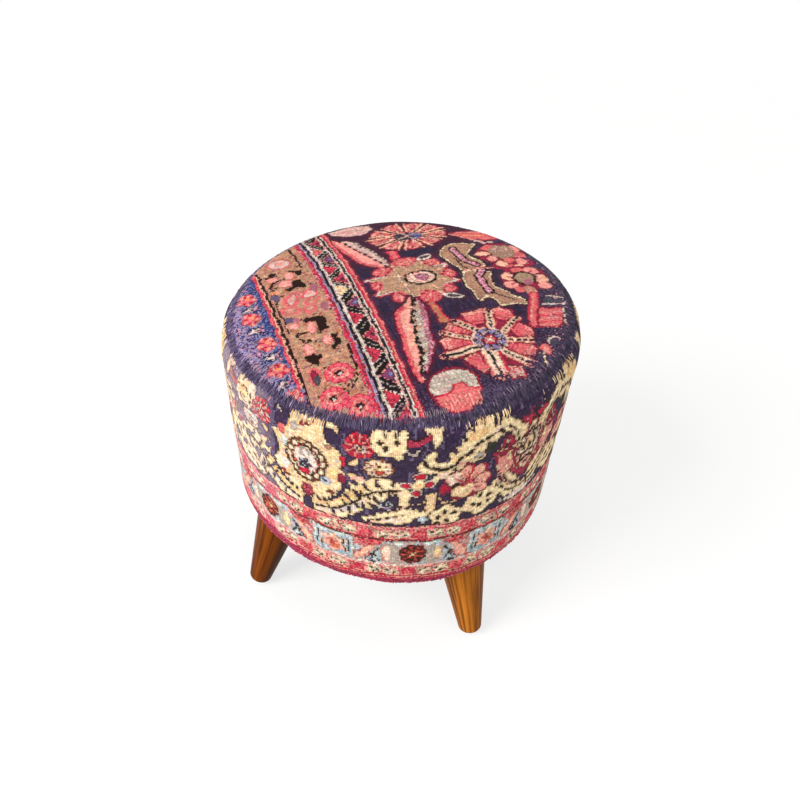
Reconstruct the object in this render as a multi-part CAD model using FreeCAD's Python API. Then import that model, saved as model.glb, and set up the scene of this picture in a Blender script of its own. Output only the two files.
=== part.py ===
import FreeCAD, Part
import math
import os

os.makedirs("parts", exist_ok=True)
Vector = FreeCAD.Vector

# Body: a drum with a crowned seat, covered in rug, on splayed legs (millimetres and degrees)
overall_height = 392.0
body_diameter = 400.0
body_bottom_z = 129.0
crown_radius = 1800.0
rim_radius = 32.0
side_draft = 0.3

# Rug cover: a round seat piece and a side strip, joined by an overcast seam along the rim
rug_thickness = 9.0
seam_drop = 15.0
stitch_reach_up = 5.4
stitch_reach_down = 7.0
stitch_thickness = 2.5
back_seam_angle = 105.0
lacing_width = 9.0

# Padding and the wooden drum inside
wadding_thickness = 6.0
foam_thickness = 40.0
board_thickness = 15.0
base_recess = 2.0
skin_thickness = 4.0
post_count = 4
post_width = 45.0
post_depth = 30.0
post_bevel = 2.0

# Legs
leg_count = 4
leg_inset = 39.4
leg_splay = 19.6
leg_top_radius = 29.1
leg_foot_radius = 14.0
leg_top_round = 3.0
leg_foot_round = 8.8
felt_pad_thickness = 2.5
felt_pad_margin = 0.8

# Leg plates and hanger bolts
plate_width = 46.0
plate_thickness = 2.5
plate_corner_radius = 6.0
plate_screw_offset = 17.0
plate_to_leg_gap = 1.5
boss_radius = 12.0
boss_fillet = 1.2
bolt_radius = 3.9
bolt_depth_in_leg = 30.0

# Screws, nails, tacks and staples
board_screw_radius = 2.0
board_screw_head_radius = 4.2
board_screw_length = 50.0
plate_screw_radius = 1.9
plate_screw_head_radius = 3.5
plate_screw_head_height = 2.2
plate_screw_length = 16.0
tack_count = 16
tack_radius = 0.9
tack_head_radius = 2.4
tack_head_height = 0.8
tack_bite = 2.0
tack_length = 14.0
nails_per_post = 3
nail_radius = 0.8
nail_head_radius = 1.8
nail_head_height = 0.6
nail_length = 14.0
dust_cover_thickness = 0.6
dust_cover_margin = 1.5
staple_count = 16
staple_width = 9.0
staple_wire = 0.8
staple_length = 6.0
staple_inset = 6.0

# Clearances
soft_clearance = 0.3
bolt_clearance = 0.1
screw_clearance = 0.1
tack_clearance = 0.05

# Heights and radii that follow from the sizes above
body_radius = body_diameter / 2
far = body_diameter + overall_height
tiny = 0.001
wadding_inset = rug_thickness + soft_clearance
foam_inset = wadding_inset + wadding_thickness + soft_clearance
drum_radius = body_radius - foam_inset
foam_bottom_z = overall_height - foam_inset - foam_thickness
seat_board_z = foam_bottom_z - board_thickness
base_board_z = body_bottom_z + base_recess
base_top_z = base_board_z + board_thickness
post_height = seat_board_z - base_top_z
seam_z = overall_height - seam_drop
selvedge_radius = rug_thickness / 2
rug_low_z = body_bottom_z + rug_thickness + soft_clearance
post_face_r = math.sqrt((drum_radius - skin_thickness - soft_clearance) ** 2 - (post_width / 2) ** 2)
post_centre_r = post_face_r - post_depth / 2
plate_top_z = base_board_z - dust_cover_thickness
plate_bottom_z = plate_top_z - plate_thickness
splay = math.radians(leg_splay)
leg_top_z = plate_bottom_z - plate_to_leg_gap - plate_width / 2 * math.tan(splay)
leg_end_z = leg_foot_round * (1 - math.cos(splay)) + (leg_foot_radius - leg_foot_round) * math.sin(splay)
leg_length = (leg_top_z - leg_end_z) / math.cos(splay)

# The rim's circle lies inside the crown's and touches it
rim_centre_r = body_radius - rim_radius
crown_centre_z = overall_height - crown_radius
rim_centre_z = crown_centre_z + math.sqrt((crown_radius - rim_radius) ** 2 - rim_centre_r ** 2)


def side_radius(z, inset):
    """Radius of the straight side at a height, a given depth below the cover's face."""
    draft = math.radians(side_draft)
    start_r = rim_centre_r + (rim_radius - inset) * math.cos(draft)
    start_z = rim_centre_z - (rim_radius - inset) * math.sin(draft)
    return start_r - (start_z - z) * math.tan(draft)


def on_circle(centre_r, centre_z, radius, angle):
    """Point of the profile plane at an angle above the horizontal."""
    return Vector(centre_r + radius * math.cos(angle), 0, centre_z + radius * math.sin(angle))


def body_solid(inset, low_z):
    """The stool's turned body, a given depth below the cover's face, down to a height."""
    crown_r = crown_radius - inset
    rim_r = rim_radius - inset
    join = math.acos(rim_centre_r / (crown_radius - rim_radius))
    end = -math.radians(side_draft)
    apex = Vector(0, 0, overall_height - inset)
    crown_mid = on_circle(0, crown_centre_z, crown_r, (join + math.pi / 2) / 2)
    crown_end = on_circle(0, crown_centre_z, crown_r, join)
    rim_mid = on_circle(rim_centre_r, rim_centre_z, rim_r, (join + end) / 2)
    rim_end = on_circle(rim_centre_r, rim_centre_z, rim_r, end)
    foot = Vector(side_radius(low_z, inset), 0, low_z)
    centre = Vector(0, 0, low_z)
    edges = [
        Part.Arc(apex, crown_mid, crown_end).toShape(),
        Part.Arc(crown_end, rim_mid, rim_end).toShape(),
        Part.makeLine(rim_end, foot),
        Part.makeLine(foot, centre),
        Part.makeLine(centre, apex),
    ]
    return Part.Face(Part.Wire(edges)).revolve(Vector(), Vector(0, 0, 1), 360)


def shell(outer_inset, inner_inset, low_z):
    """Layer of the body between two depths, open at the bottom."""
    return body_solid(outer_inset, low_z).cut(body_solid(inner_inset, low_z - far))


def disc(radius, z, thickness):
    """Flat round plate."""
    return Part.makeCylinder(radius, thickness, Vector(0, 0, z))


def turned(shape, angle):
    """Copy of a shape, turned about the stool's axis."""
    copy = shape.copy()
    copy.rotate(Vector(), Vector(0, 0, 1), angle)
    return copy


def around(shape, count, first_angle):
    """Copies of a shape, evenly spaced about the stool's axis."""
    return [turned(shape, first_angle + 360.0 * i / count) for i in range(count)]


def seam_slab(low, high):
    """Level space between two heights above or below the rim seam."""
    return disc(far, seam_z + low, high - low)


def back_slab(width, high_z):
    """Upright space of a given width along the strip's back seam, up to a height."""
    slab = Part.makeBox(far, width, high_z + far, Vector(0, -width / 2, -far))
    return turned(slab, back_seam_angle)


def radial_pin(radius, head_radius, head_height, tip_r, head_r, z):
    """Nail or tack along a radius, its head's underside at head_r."""
    shank = Part.makeCylinder(radius, head_r - tip_r, Vector(tip_r, 0, z), Vector(1, 0, 0))
    head = Part.makeCylinder(head_radius, head_height, Vector(head_r, 0, z), Vector(1, 0, 0))
    return shank.fuse(head).removeSplitter()


def countersunk_screw(r, tip_z, head_z, extra):
    """Board screw at a radius, its flat head at head_z; extra widens it to make its hole."""
    way = 1 if head_z > tip_z else -1
    sink = board_screw_head_radius - board_screw_radius
    length = abs(head_z - tip_z)
    up = Vector(0, 0, way)
    shank = Part.makeCylinder(board_screw_radius + extra, length, Vector(r, 0, tip_z), up)
    neck_z = head_z - way * sink
    head = Part.makeCone(board_screw_radius + extra, board_screw_head_radius + extra, sink, Vector(r, 0, neck_z), up)
    return shank.fuse(head).removeSplitter()


def seat_screw(extra):
    """Screw down through the seat board into a post."""
    top = foam_bottom_z
    return countersunk_screw(post_centre_r, top - board_screw_length, top, extra)


def base_screw(extra):
    """Screw up through the base board into a post."""
    return countersunk_screw(post_centre_r, base_board_z + board_screw_length, base_board_z, extra)


def axis_radius(z):
    """Distance of a leg's axis from the stool's axis at a height."""
    return body_radius - leg_inset + (body_bottom_z - z) * math.tan(splay)


def axis_point(z):
    """Point on the axis of the leg that stands on the +X side, before it is turned into place."""
    return Vector(axis_radius(z), 0, z)


leg_down = Vector(math.sin(splay), 0, -math.cos(splay))
plate_centre_r = axis_radius(plate_bottom_z)


def plate_screw(extra):
    """Pan-head screw through a corner of a leg plate, at the plate's own centre."""
    shank_length = plate_screw_length - plate_screw_head_height
    shank = Part.makeCylinder(plate_screw_radius + extra, shank_length, Vector(0, 0, plate_bottom_z))
    low = Vector(0, 0, plate_bottom_z - plate_screw_head_height)
    head = Part.makeCylinder(plate_screw_head_radius, plate_screw_head_height, low)
    return shank.fuse(head).removeSplitter()


def plate_screw_set(extra):
    """The four screws of the plate on the +X side."""
    screws = []
    for sx in (-1, 1):
        for sy in (-1, 1):
            screw = plate_screw(extra)
            screw.translate(Vector(plate_centre_r + sx * plate_screw_offset, sy * plate_screw_offset, 0))
            screws.append(screw)
    return Part.makeCompound(screws)


def bolt_bore(radius):
    """Straight rod along the leg's axis, from the plate into the leg."""
    top = axis_point(plate_top_z - radius * math.sin(splay) - soft_clearance)
    low = axis_point(leg_top_z) + leg_down * bolt_depth_in_leg
    return Part.makeCylinder(radius, (low - top).Length, top, leg_down)


def leg_plate():
    """Steel plate with a boss tilted to the leg's splay."""
    half = plate_width / 2
    plate = Part.makeBox(plate_width, plate_width, plate_thickness, Vector(-half, -half, plate_bottom_z))
    corners = [e for e in plate.Edges if abs(e.BoundBox.ZLength - plate_thickness) < tiny]
    plate = plate.makeFillet(plate_corner_radius, corners)
    plate.translate(Vector(plate_centre_r, 0, 0))
    boss_top = axis_point(plate_top_z + boss_radius)
    boss = Part.makeCylinder(boss_radius, (axis_point(leg_top_z) - boss_top).Length, boss_top, leg_down)
    above = Part.makeBox(far, far, far, Vector(0, -far / 2, plate_top_z))
    plate = plate.fuse(boss.cut(above)).removeSplitter()
    flat_loops = [e for e in plate.Edges if e.Closed and e.BoundBox.ZLength < tiny]
    boss_root = [e for e in flat_loops if abs(e.CenterOfMass.z - plate_bottom_z) < tiny]
    plate = plate.makeFillet(boss_fillet, boss_root)
    start = axis_point(plate_top_z + boss_radius)
    bore_length = (axis_point(leg_top_z) - start).Length + boss_radius
    bore = Part.makeCylinder(bolt_radius + bolt_clearance, bore_length, start, leg_down)
    return plate.cut(bore).cut(plate_screw_set(screw_clearance))


def leg():
    """Turned, tapered leg with a rounded foot, cut level where it stands on its felt pad."""
    top = axis_point(leg_top_z)
    cone = Part.makeCone(leg_top_radius, leg_foot_radius, leg_length, top, leg_down)
    top_edges = [e for e in cone.Edges if e.Closed and e.CenterOfMass.distanceToPoint(top) < leg_length / 2]
    cone = cone.makeFillet(leg_top_round, top_edges)
    end = axis_point(leg_end_z)
    rounded = [e for e in cone.Edges if e.Closed and e.CenterOfMass.distanceToPoint(end) < leg_foot_round]
    cone = cone.makeFillet(leg_foot_round, rounded)
    below = Part.makeBox(far, far, far, Vector(0, -far / 2, felt_pad_thickness - far))
    bore = Part.makeCylinder(bolt_radius + bolt_clearance, bolt_depth_in_leg + bolt_radius, top, leg_down)
    return cone.cut(below).cut(bore)


def felt_pad():
    """Felt pad under the level cut of a foot, as wide as the cut allows."""
    inner_r = leg_foot_radius - leg_foot_round
    outer_edge = axis_radius(leg_end_z) + (felt_pad_thickness - leg_end_z) / math.tan(splay)
    round_centre = axis_radius(leg_end_z) - leg_foot_round * math.sin(splay) - inner_r * math.cos(splay)
    chord = math.sqrt(leg_foot_round ** 2 - (leg_foot_round - felt_pad_thickness) ** 2)
    inner_edge = round_centre - chord
    radius = (outer_edge - inner_edge) / 2 - felt_pad_margin
    return Part.makeCylinder(radius, felt_pad_thickness, Vector((outer_edge + inner_edge) / 2, 0, 0))


def staple(extra):
    """Wire staple that holds the dust cloth to the base board; extra widens it to make its holes."""
    wire = staple_wire + 2 * extra
    r = base_radius - staple_inset - staple_wire / 2
    low = plate_top_z - staple_wire
    crown = Part.makeBox(staple_wire, staple_width, staple_wire, Vector(r, -staple_width / 2, low))
    for side in (-1, 1):
        y = side * (staple_width - staple_wire) / 2 - wire / 2
        prong = Part.makeBox(wire, wire, staple_length + extra, Vector(r - extra, y, low))
        crown = crown.fuse(prong)
    return crown.removeSplitter()


# Rug cover
stitch_band = seam_slab(-stitch_reach_down, stitch_reach_up)
stitch_room = seam_slab(-stitch_reach_down - soft_clearance, stitch_reach_up + soft_clearance)
yarn_layer = shell(0, stitch_thickness, rug_low_z)
yarn_room = shell(-soft_clearance, stitch_thickness + soft_clearance, rug_low_z - soft_clearance)
rug_layer = shell(0, rug_thickness, rug_low_z)
rim_groove = yarn_room.common(stitch_room)
rim_stitching = yarn_layer.common(stitch_band)
seat_rug = rug_layer.common(seam_slab(soft_clearance / 2, far)).cut(rim_groove)

below_stitches = seam_slab(-far, -stitch_reach_down - 2 * soft_clearance)
back_seam_lacing = yarn_layer.common(back_slab(lacing_width, seam_z)).common(below_stitches)
lacing_room = yarn_room.common(back_slab(lacing_width + 2 * soft_clearance, seam_z))

# Base board, with the tacks that hold the strip's lower edge to its rim
base_radius = side_radius(base_board_z, rug_thickness) - soft_clearance
tack_z = (rug_low_z + base_top_z) / 2
tack_seat_r = side_radius(tack_z, rug_thickness) + tack_bite
tack = radial_pin(tack_radius, tack_head_radius, tack_head_height, tack_seat_r - tack_length, tack_seat_r, tack_z)
tack_hole = radial_pin(tack_radius + tack_clearance, tack_head_radius + soft_clearance,
                       tack_head_height + soft_clearance, tack_seat_r - tack_length, tack_seat_r, tack_z)
tack_first_angle = 180.0 / tack_count
rug_tacks = around(tack, tack_count, tack_first_angle)
tack_holes = around(tack_hole, tack_count, tack_first_angle)

side_rug = rug_layer.common(seam_slab(-far, -soft_clearance / 2)).cut(rim_groove)
side_rug = side_rug.cut(lacing_room).cut(back_slab(soft_clearance, far)).cut(tack_holes)

# Padding
foam_pad = body_solid(foam_inset, foam_bottom_z)
seat_wadding = shell(wadding_inset, foam_inset - soft_clearance, foam_bottom_z)
side_wadding = body_solid(wadding_inset, base_top_z)
side_wadding = side_wadding.cut(disc(far, foam_bottom_z - soft_clearance, far))
side_wadding = side_wadding.cut(disc(drum_radius + soft_clearance, base_top_z, far))

# Wooden drum
leg_angle = 180.0 / leg_count
post = Part.makeBox(post_depth, post_width, post_height,
                    Vector(post_centre_r - post_depth / 2, -post_width / 2, base_top_z))
upright = [e for e in post.Edges if abs(e.BoundBox.ZLength - post_height) < tiny]
post = post.makeChamfer(post_bevel, upright)
post = post.cut(seat_screw(screw_clearance)).cut(base_screw(screw_clearance))

nail_seat_r = drum_radius - nail_head_height
nails = []
nail_holes = []
for i in range(nails_per_post):
    nail_z = base_top_z + post_height * (i + 0.5) / nails_per_post
    tip_r = nail_seat_r - nail_length
    nails.append(radial_pin(nail_radius, nail_head_radius, nail_head_height, tip_r, nail_seat_r, nail_z))
    nail_holes.append(radial_pin(nail_radius + tack_clearance, nail_head_radius + tack_clearance,
                                 nail_head_height + tack_clearance, tip_r, nail_seat_r, nail_z))
post = post.cut(nail_holes)
skin_nails = around(Part.makeCompound(nails), post_count, 0)

drum_skin = disc(drum_radius, base_top_z, post_height).cut(disc(drum_radius - skin_thickness, base_top_z, far))
drum_skin = drum_skin.cut(back_slab(soft_clearance, far))
drum_skin = drum_skin.cut(around(Part.makeCompound(nail_holes), post_count, 0))

seat_board_screws = around(seat_screw(0), post_count, 0)
base_board_screws = around(base_screw(0), post_count, 0)
seat_board = disc(drum_radius, seat_board_z, board_thickness)
seat_board = seat_board.cut(around(seat_screw(screw_clearance), post_count, 0))

plate_holes = around(plate_screw_set(screw_clearance), leg_count, leg_angle)
staple_first_angle = 180.0 / staple_count
dust_cover_staples = around(staple(0), staple_count, staple_first_angle)
staple_holes = around(staple(tack_clearance), staple_count, staple_first_angle)

base_board = disc(base_radius, base_board_z, board_thickness).cut(tack_holes)
base_board = base_board.cut(around(base_screw(screw_clearance), post_count, 0))
base_board = base_board.cut(plate_holes).cut(staple_holes)

dust_cover = disc(base_radius - dust_cover_margin, plate_top_z, dust_cover_thickness)
dust_cover = dust_cover.cut(plate_holes).cut(staple_holes)

parts = {
    "seat_rug": seat_rug,
    "side_rug": side_rug,
    "rim_stitching": rim_stitching,
    "back_seam_lacing": back_seam_lacing,
    "selvedge_cord": Part.makeTorus(side_radius(body_bottom_z, 0) - selvedge_radius, selvedge_radius,
                                    Vector(0, 0, body_bottom_z + selvedge_radius)),
    "rug_tacks": Part.makeCompound(rug_tacks),
    "seat_wadding": seat_wadding,
    "side_wadding": side_wadding,
    "foam_pad": foam_pad,
    "seat_board": seat_board,
    "seat_board_screws": Part.makeCompound(seat_board_screws),
    "drum_skin": drum_skin,
    "skin_nails": Part.makeCompound(skin_nails),
    "base_board": base_board,
    "base_board_screws": Part.makeCompound(base_board_screws),
    "dust_cover": dust_cover,
    "dust_cover_staples": Part.makeCompound(dust_cover_staples),
    "plate_screws": Part.makeCompound(around(plate_screw_set(0), leg_count, leg_angle)),
}
for i, shape in enumerate(around(post, post_count, 0)):
    parts["post_%d" % (i + 1)] = shape
per_leg = {"leg": leg(), "leg_plate": leg_plate(), "hanger_bolt": bolt_bore(bolt_radius), "felt_pad": felt_pad()}
for name, shape in per_leg.items():
    for i, copy in enumerate(around(shape, leg_count, leg_angle)):
        parts["%s_%d" % (name, i + 1)] = copy

for name, shape in parts.items():
    print(name, "solids", len(shape.Solids), "valid", shape.isValid(), "volume", round(shape.Volume, 1))
    shape.exportStep(os.path.join("parts", name + ".step"))
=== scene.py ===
import math
import bmesh
import bpy
import numpy as np
from mathutils import Matrix, Vector


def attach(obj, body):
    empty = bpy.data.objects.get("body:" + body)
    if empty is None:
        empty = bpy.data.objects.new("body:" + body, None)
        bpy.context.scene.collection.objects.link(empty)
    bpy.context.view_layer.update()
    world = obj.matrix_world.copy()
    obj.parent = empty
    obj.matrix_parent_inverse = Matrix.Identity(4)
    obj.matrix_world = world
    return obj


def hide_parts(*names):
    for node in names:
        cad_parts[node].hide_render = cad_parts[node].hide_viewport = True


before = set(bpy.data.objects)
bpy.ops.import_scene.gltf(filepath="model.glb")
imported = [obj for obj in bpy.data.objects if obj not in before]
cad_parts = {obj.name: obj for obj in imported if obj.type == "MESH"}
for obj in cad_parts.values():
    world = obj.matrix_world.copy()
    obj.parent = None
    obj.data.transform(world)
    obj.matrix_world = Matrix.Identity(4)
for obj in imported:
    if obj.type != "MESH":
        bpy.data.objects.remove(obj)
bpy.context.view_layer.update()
rng = np.random.default_rng(7)
mm = 0.001


def tone(r, g, b):
    c = np.array([r, g, b]) / 255
    return np.where(c > 0.04045, ((c + 0.055) / 1.055) ** 2.4, c / 12.92)


swatches = {
    "navy": (37, 29, 50), "plum": (58, 24, 44), "blue": (62, 70, 126), "deep": (40, 50, 92),
    "lilac": (146, 126, 156), "slate": (104, 108, 148), "tan": (177, 128, 102), "olive": (152, 124, 100),
    "taupe": (182, 128, 108), "coral": (208, 98, 98), "pink": (232, 146, 136), "peach": (238, 172, 146),
    "orange": (232, 138, 100), "red": (194, 54, 74), "wine": (138, 34, 58), "cream": (238, 210, 174),
    "white": (230, 206, 196), "black": (24, 14, 16), "brown": (34, 12, 6), "mauve": (158, 92, 106),
    "rose": (216, 144, 160), "grey": (206, 192, 176), "stone": (176, 160, 146), "teal": (52, 62, 66),
    "dusty": (206, 166, 156), "tawny": (172, 106, 78), "ink": (52, 38, 62), "ivory": (244, 212, 166),
    "sand": (236, 195, 148), "blush": (238, 172, 150), "ruby": (184, 30, 56), "rosy": (212, 88, 100),
    "umber": (58, 28, 16), "mist": (180, 188, 194), "sea": (142, 164, 170), "rust": (132, 50, 36),
    "ember": (204, 104, 74), "shell": (238, 202, 178), "jute": (150, 132, 116), "thread": (78, 66, 96),
    "khaki": (178, 140, 110), "bark": (164, 122, 100), "grape": (118, 58, 92), "rouge": (162, 50, 72),
    "fuchsia": (152, 40, 74), "haze": (92, 76, 102), "pale": (226, 202, 190), "gold": (236, 191, 134),
    "salmon": (226, 146, 134), "bronze": (112, 66, 34), "oxide": (112, 28, 24), "brick": (172, 70, 52),
    "frost": (198, 206, 198), "leaf": (44, 48, 38),
}
dyes = {name: tone(*rgb) for name, rgb in swatches.items()}

# The cover's face: a crowned seat, a round rim and a side with a little draft; the seat leans to one side
body = {"crown": 1800.0, "crownZ": -1408.0, "rim": 32.0, "rimR": 168.0, "rimZ": 352.0, "draft": 0.3,
        "lean": 9.1, "leanFrom": 302.4, "leanTurn": 15.25, "front": -78.333, "wrap": 199.0}
crownTurn = math.asin(body["rimR"] / (body["crown"] - body["rim"]))
crownEnd = body["crown"] * crownTurn
rimEnd = crownEnd + body["rim"] * (math.pi / 2 - crownTurn)
draft = math.tan(math.radians(body["draft"]))
around = 2 * math.pi * body["wrap"]
backSeam = math.radians(105 - body["front"]) * body["wrap"] - around


def profile(s, depth):
    # radius and height at a way s from the crown's middle and at a depth below the face
    onCrown, onRim = s < crownEnd, s < rimEnd
    a = np.where(onCrown, s / body["crown"], crownTurn + (s - crownEnd) / body["rim"])
    dome, bend, down = body["crown"] - depth, body["rim"] - depth, s - rimEnd
    r = np.where(onRim, body["rimR"] + bend * np.sin(a), body["rimR"] + bend - down * draft)
    z = np.where(onRim, body["rimZ"] + bend * np.cos(a), body["rimZ"] - down)
    return np.where(onCrown, dome * np.sin(a), r), np.where(onCrown, body["crownZ"] + dome * np.cos(a), z)


def skin(s, theta, depth):
    r, z = profile(s, depth)
    return lean(np.stack([r * np.cos(theta), r * np.sin(theta), z], -1))


def lean(p):
    turn = math.radians(body["leanTurn"])
    up = np.clip((p[..., 2] - body["leanFrom"]) / (body["rimZ"] - body["leanFrom"]), 0, 1) ** 2
    p = p.copy()
    across = (p[..., 0] * math.cos(turn) + p[..., 1] * math.sin(turn)) / (body["rimR"] + body["rim"])
    p[..., 2] += up * body["lean"] * across
    return p


def sideTurn(a):
    return math.radians(body["front"]) + a / body["wrap"]


# Along the strip: how far its pattern sags, where its hem lies and how far the hem is tucked in
sagAt = [-625, -400, -250, -150, -120, -60, 0, 60, 110, 150, 200, 300, 625]
sagBy = [0, -1, -4, -7.5, -7, -2.6, 0.4, 3, 5, 5, 3, 0, 0]
hemPlaces = [-625, -200, -120, -60, 0, 60, 140, 250, 625]
hemLevels = [221, 219, 218, 217.6, 220.5, 222.4, 222.4, 221, 221]
tuckAt = [-625, -250, -150, -60, 0, 60, 110, 168, 300, 625]
tuckBy = [3, 5, 6, 4, 2, 1, 1.6, 4, 3, 3]
soften = 22.0


def along(a, at, by):
    # a value given at places round the strip, softened to both sides
    a = (a + around / 2) % around - around / 2
    steps = (-soften, -soften / 3, soften / 3, soften)
    return sum(np.interp(a + d, at, by, period=around) for d in steps) / len(steps)


def hemAt(a):
    # the hem wanders a little up and down
    return along(a, hemPlaces, hemLevels) + 0.5 * np.sin(a / 23) + 0.4 * np.sin(a / 9.3 + 1)


def lumps(x, y):
    # slow swells of the padding under the rugs
    return (0.5 * np.sin(x / 31 + 0.7) * np.cos(y / 26) + 0.4 * np.sin(x / 13 + y / 17 + 2) +
            0.25 * np.sin(x / 7.3 - y / 6.1))


clump = {"size": 2.9, "table": (67, 71), "stray": 0.32}
leafEdge = {"end": 6, "grow": 22, "least": 0.2, "teeth": 0.75, "uneven": 0.45, "run": 8.7}


class Loom:
    def __init__(self, x, y, ground):
        # the knots stand a little out of line
        self.x = x + 0.55 * np.sin(y / 5.3 + x / 9.1) + 0.45 * np.sin(y / 2.9 - x / 3.7 + 1.3)
        self.x += rng.normal(0, clump["stray"], len(x))
        self.y = y + 0.55 * np.sin(x / 5.9 - y / 8.3 + 0.8) + 0.45 * np.sin(x / 3.1 + y / 3.3)
        self.y += rng.normal(0, clump["stray"], len(x))
        self.colour = np.tile(dyes[ground], (len(x), 1))

    def paint(self, where, dye):
        self.colour[where] = dyes[dye]

    def band(self, dye, low, high, across=None):
        line = self.x if across is None else across
        self.paint((line >= low) & (line < high), dye)

    def oval(self, dye, x, y, rx, ry=None, turn=0):
        ry, a = ry or rx, math.radians(turn)
        dx, dy = self.x - x, self.y - y
        p, q = dx * math.cos(a) + dy * math.sin(a), dy * math.cos(a) - dx * math.sin(a)
        self.paint((p / rx) ** 2 + (q / ry) ** 2 < 1, dye)

    def near(self, x, y, rx, ry=None):
        return np.hypot((self.x - x) / rx, (self.y - y) / (ry or rx)) < 1

    def holds(self, dye):
        return (self.colour == dyes[dye]).all(1)

    def inside(self, points):
        inner = np.zeros(len(self.x), bool)
        for (x0, y0), (x1, y1) in zip(points, points[1:] + points[:1]):
            if y0 != y1:
                crosses = (y0 > self.y) != (y1 > self.y)
                inner ^= crosses & (self.x < (x1 - x0) * (self.y - y0) / (y1 - y0) + x0)
        return inner

    def patch(self, dye, points, edge=None, width=2.6):
        self.paint(self.inside(points), dye)
        if edge:
            self.stroke(edge, width, points + points[:1])

    def trace(self, points):
        # each leg of a line: the x of its start, the way run to the point nearest each knot, and how far off
        run = 0.0
        for (x0, y0), (x1, y1) in zip(points, points[1:]):
            long = math.hypot(x1 - x0, y1 - y0)
            t = np.clip(((self.x - x0) * (x1 - x0) + (self.y - y0) * (y1 - y0)) / long ** 2, 0, 1)
            yield x0, run + t * long, np.hypot(self.x - x0 - t * (x1 - x0), self.y - y0 - t * (y1 - y0))
            run += long

    def stroke(self, dye, width, points, dash=0, share=0.55):
        for _, at, off in self.trace(points):
            near = off < width / 2
            if dash:
                near &= at % dash < dash * share
            self.paint(near, dye)

    def leafy(self, dye, width, points, tooth=3.0, pitch=7.0):
        # a leaf along a line, its edge cut in teeth, narrowing to both ends
        total = sum(math.dist(p, q) for p, q in zip(points, points[1:]))
        for start, at, off in self.trace(points):
            tip = np.minimum(at, total - at) + leafEdge["end"]
            half = width / 2 * np.clip(tip / leafEdge["grow"], leafEdge["least"], 1)
            uneven = leafEdge["teeth"] + leafEdge["uneven"] * np.sin(at / leafEdge["run"] + start)
            self.paint(off < half + tooth * (np.abs(at / pitch % 1 * 2 - 1) - 0.5) * uneven, dye)

    def polar(self, x, y, squash):
        dx, dy = self.x - x, (self.y - y) / squash
        return np.hypot(dx, dy), np.degrees(np.arctan2(dy, dx))

    def lobed(self, dye, x, y, reach, lobes, depth=0.15, turn=0, squash=1):
        r, a = self.polar(x, y, squash)
        edge = reach * (1 - depth + depth * np.abs(np.cos(np.radians((a - turn) * lobes / 2))))
        self.paint(r < edge, dye)

    def petals(self, dye, x, y, inner, outer, count, half, turn=0, squash=1):
        r, a = self.polar(x, y, squash)
        step = 360 / count
        off = np.abs((a - turn + step / 2) % step - step / 2)
        self.paint((r > inner) & (r < outer) & (off < half), dye)

    def spokes(self, dye, x, y, inner, outer, count, width, turn=0, squash=1, dash=0):
        for i in range(count):
            a = math.radians(turn + 360 * i / count)
            c, s = math.cos(a), math.sin(a) * squash
            self.stroke(dye, width, [(x + inner * c, y + inner * s), (x + outer * c, y + outer * s)], dash)

    def speckle(self, dye, share, where, long=1):
        # the dye is taken up in small clumps of knots
        wide, high = clump["table"]
        column = (self.x // clump["size"]).astype(int) % wide
        row = (self.y // (clump["size"] * long)).astype(int) % high
        shared = rng.random((wide, high))[column, row]
        single = rng.random(len(self.x))
        alone = rng.random(len(self.x)) < 0.5 / long
        self.paint(where & (np.where(alone, single, shared) < share), dye)

    def fleck(self, dye, share, x, y, rx, ry=None, long=1):
        self.speckle(dye, share, self.near(x, y, rx, ry), long)


print("stage: seat pattern")
# how the stripes bend along their run
bendAt, bendBy = [-165, -140, -100, -60, 0, 60, 100, 150], [-12, -9.5, -5, -2.5, 0, 1.6, 2, 1.3]


def each(draw, *rows):
    for row in rows:
        draw(*row)


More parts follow.
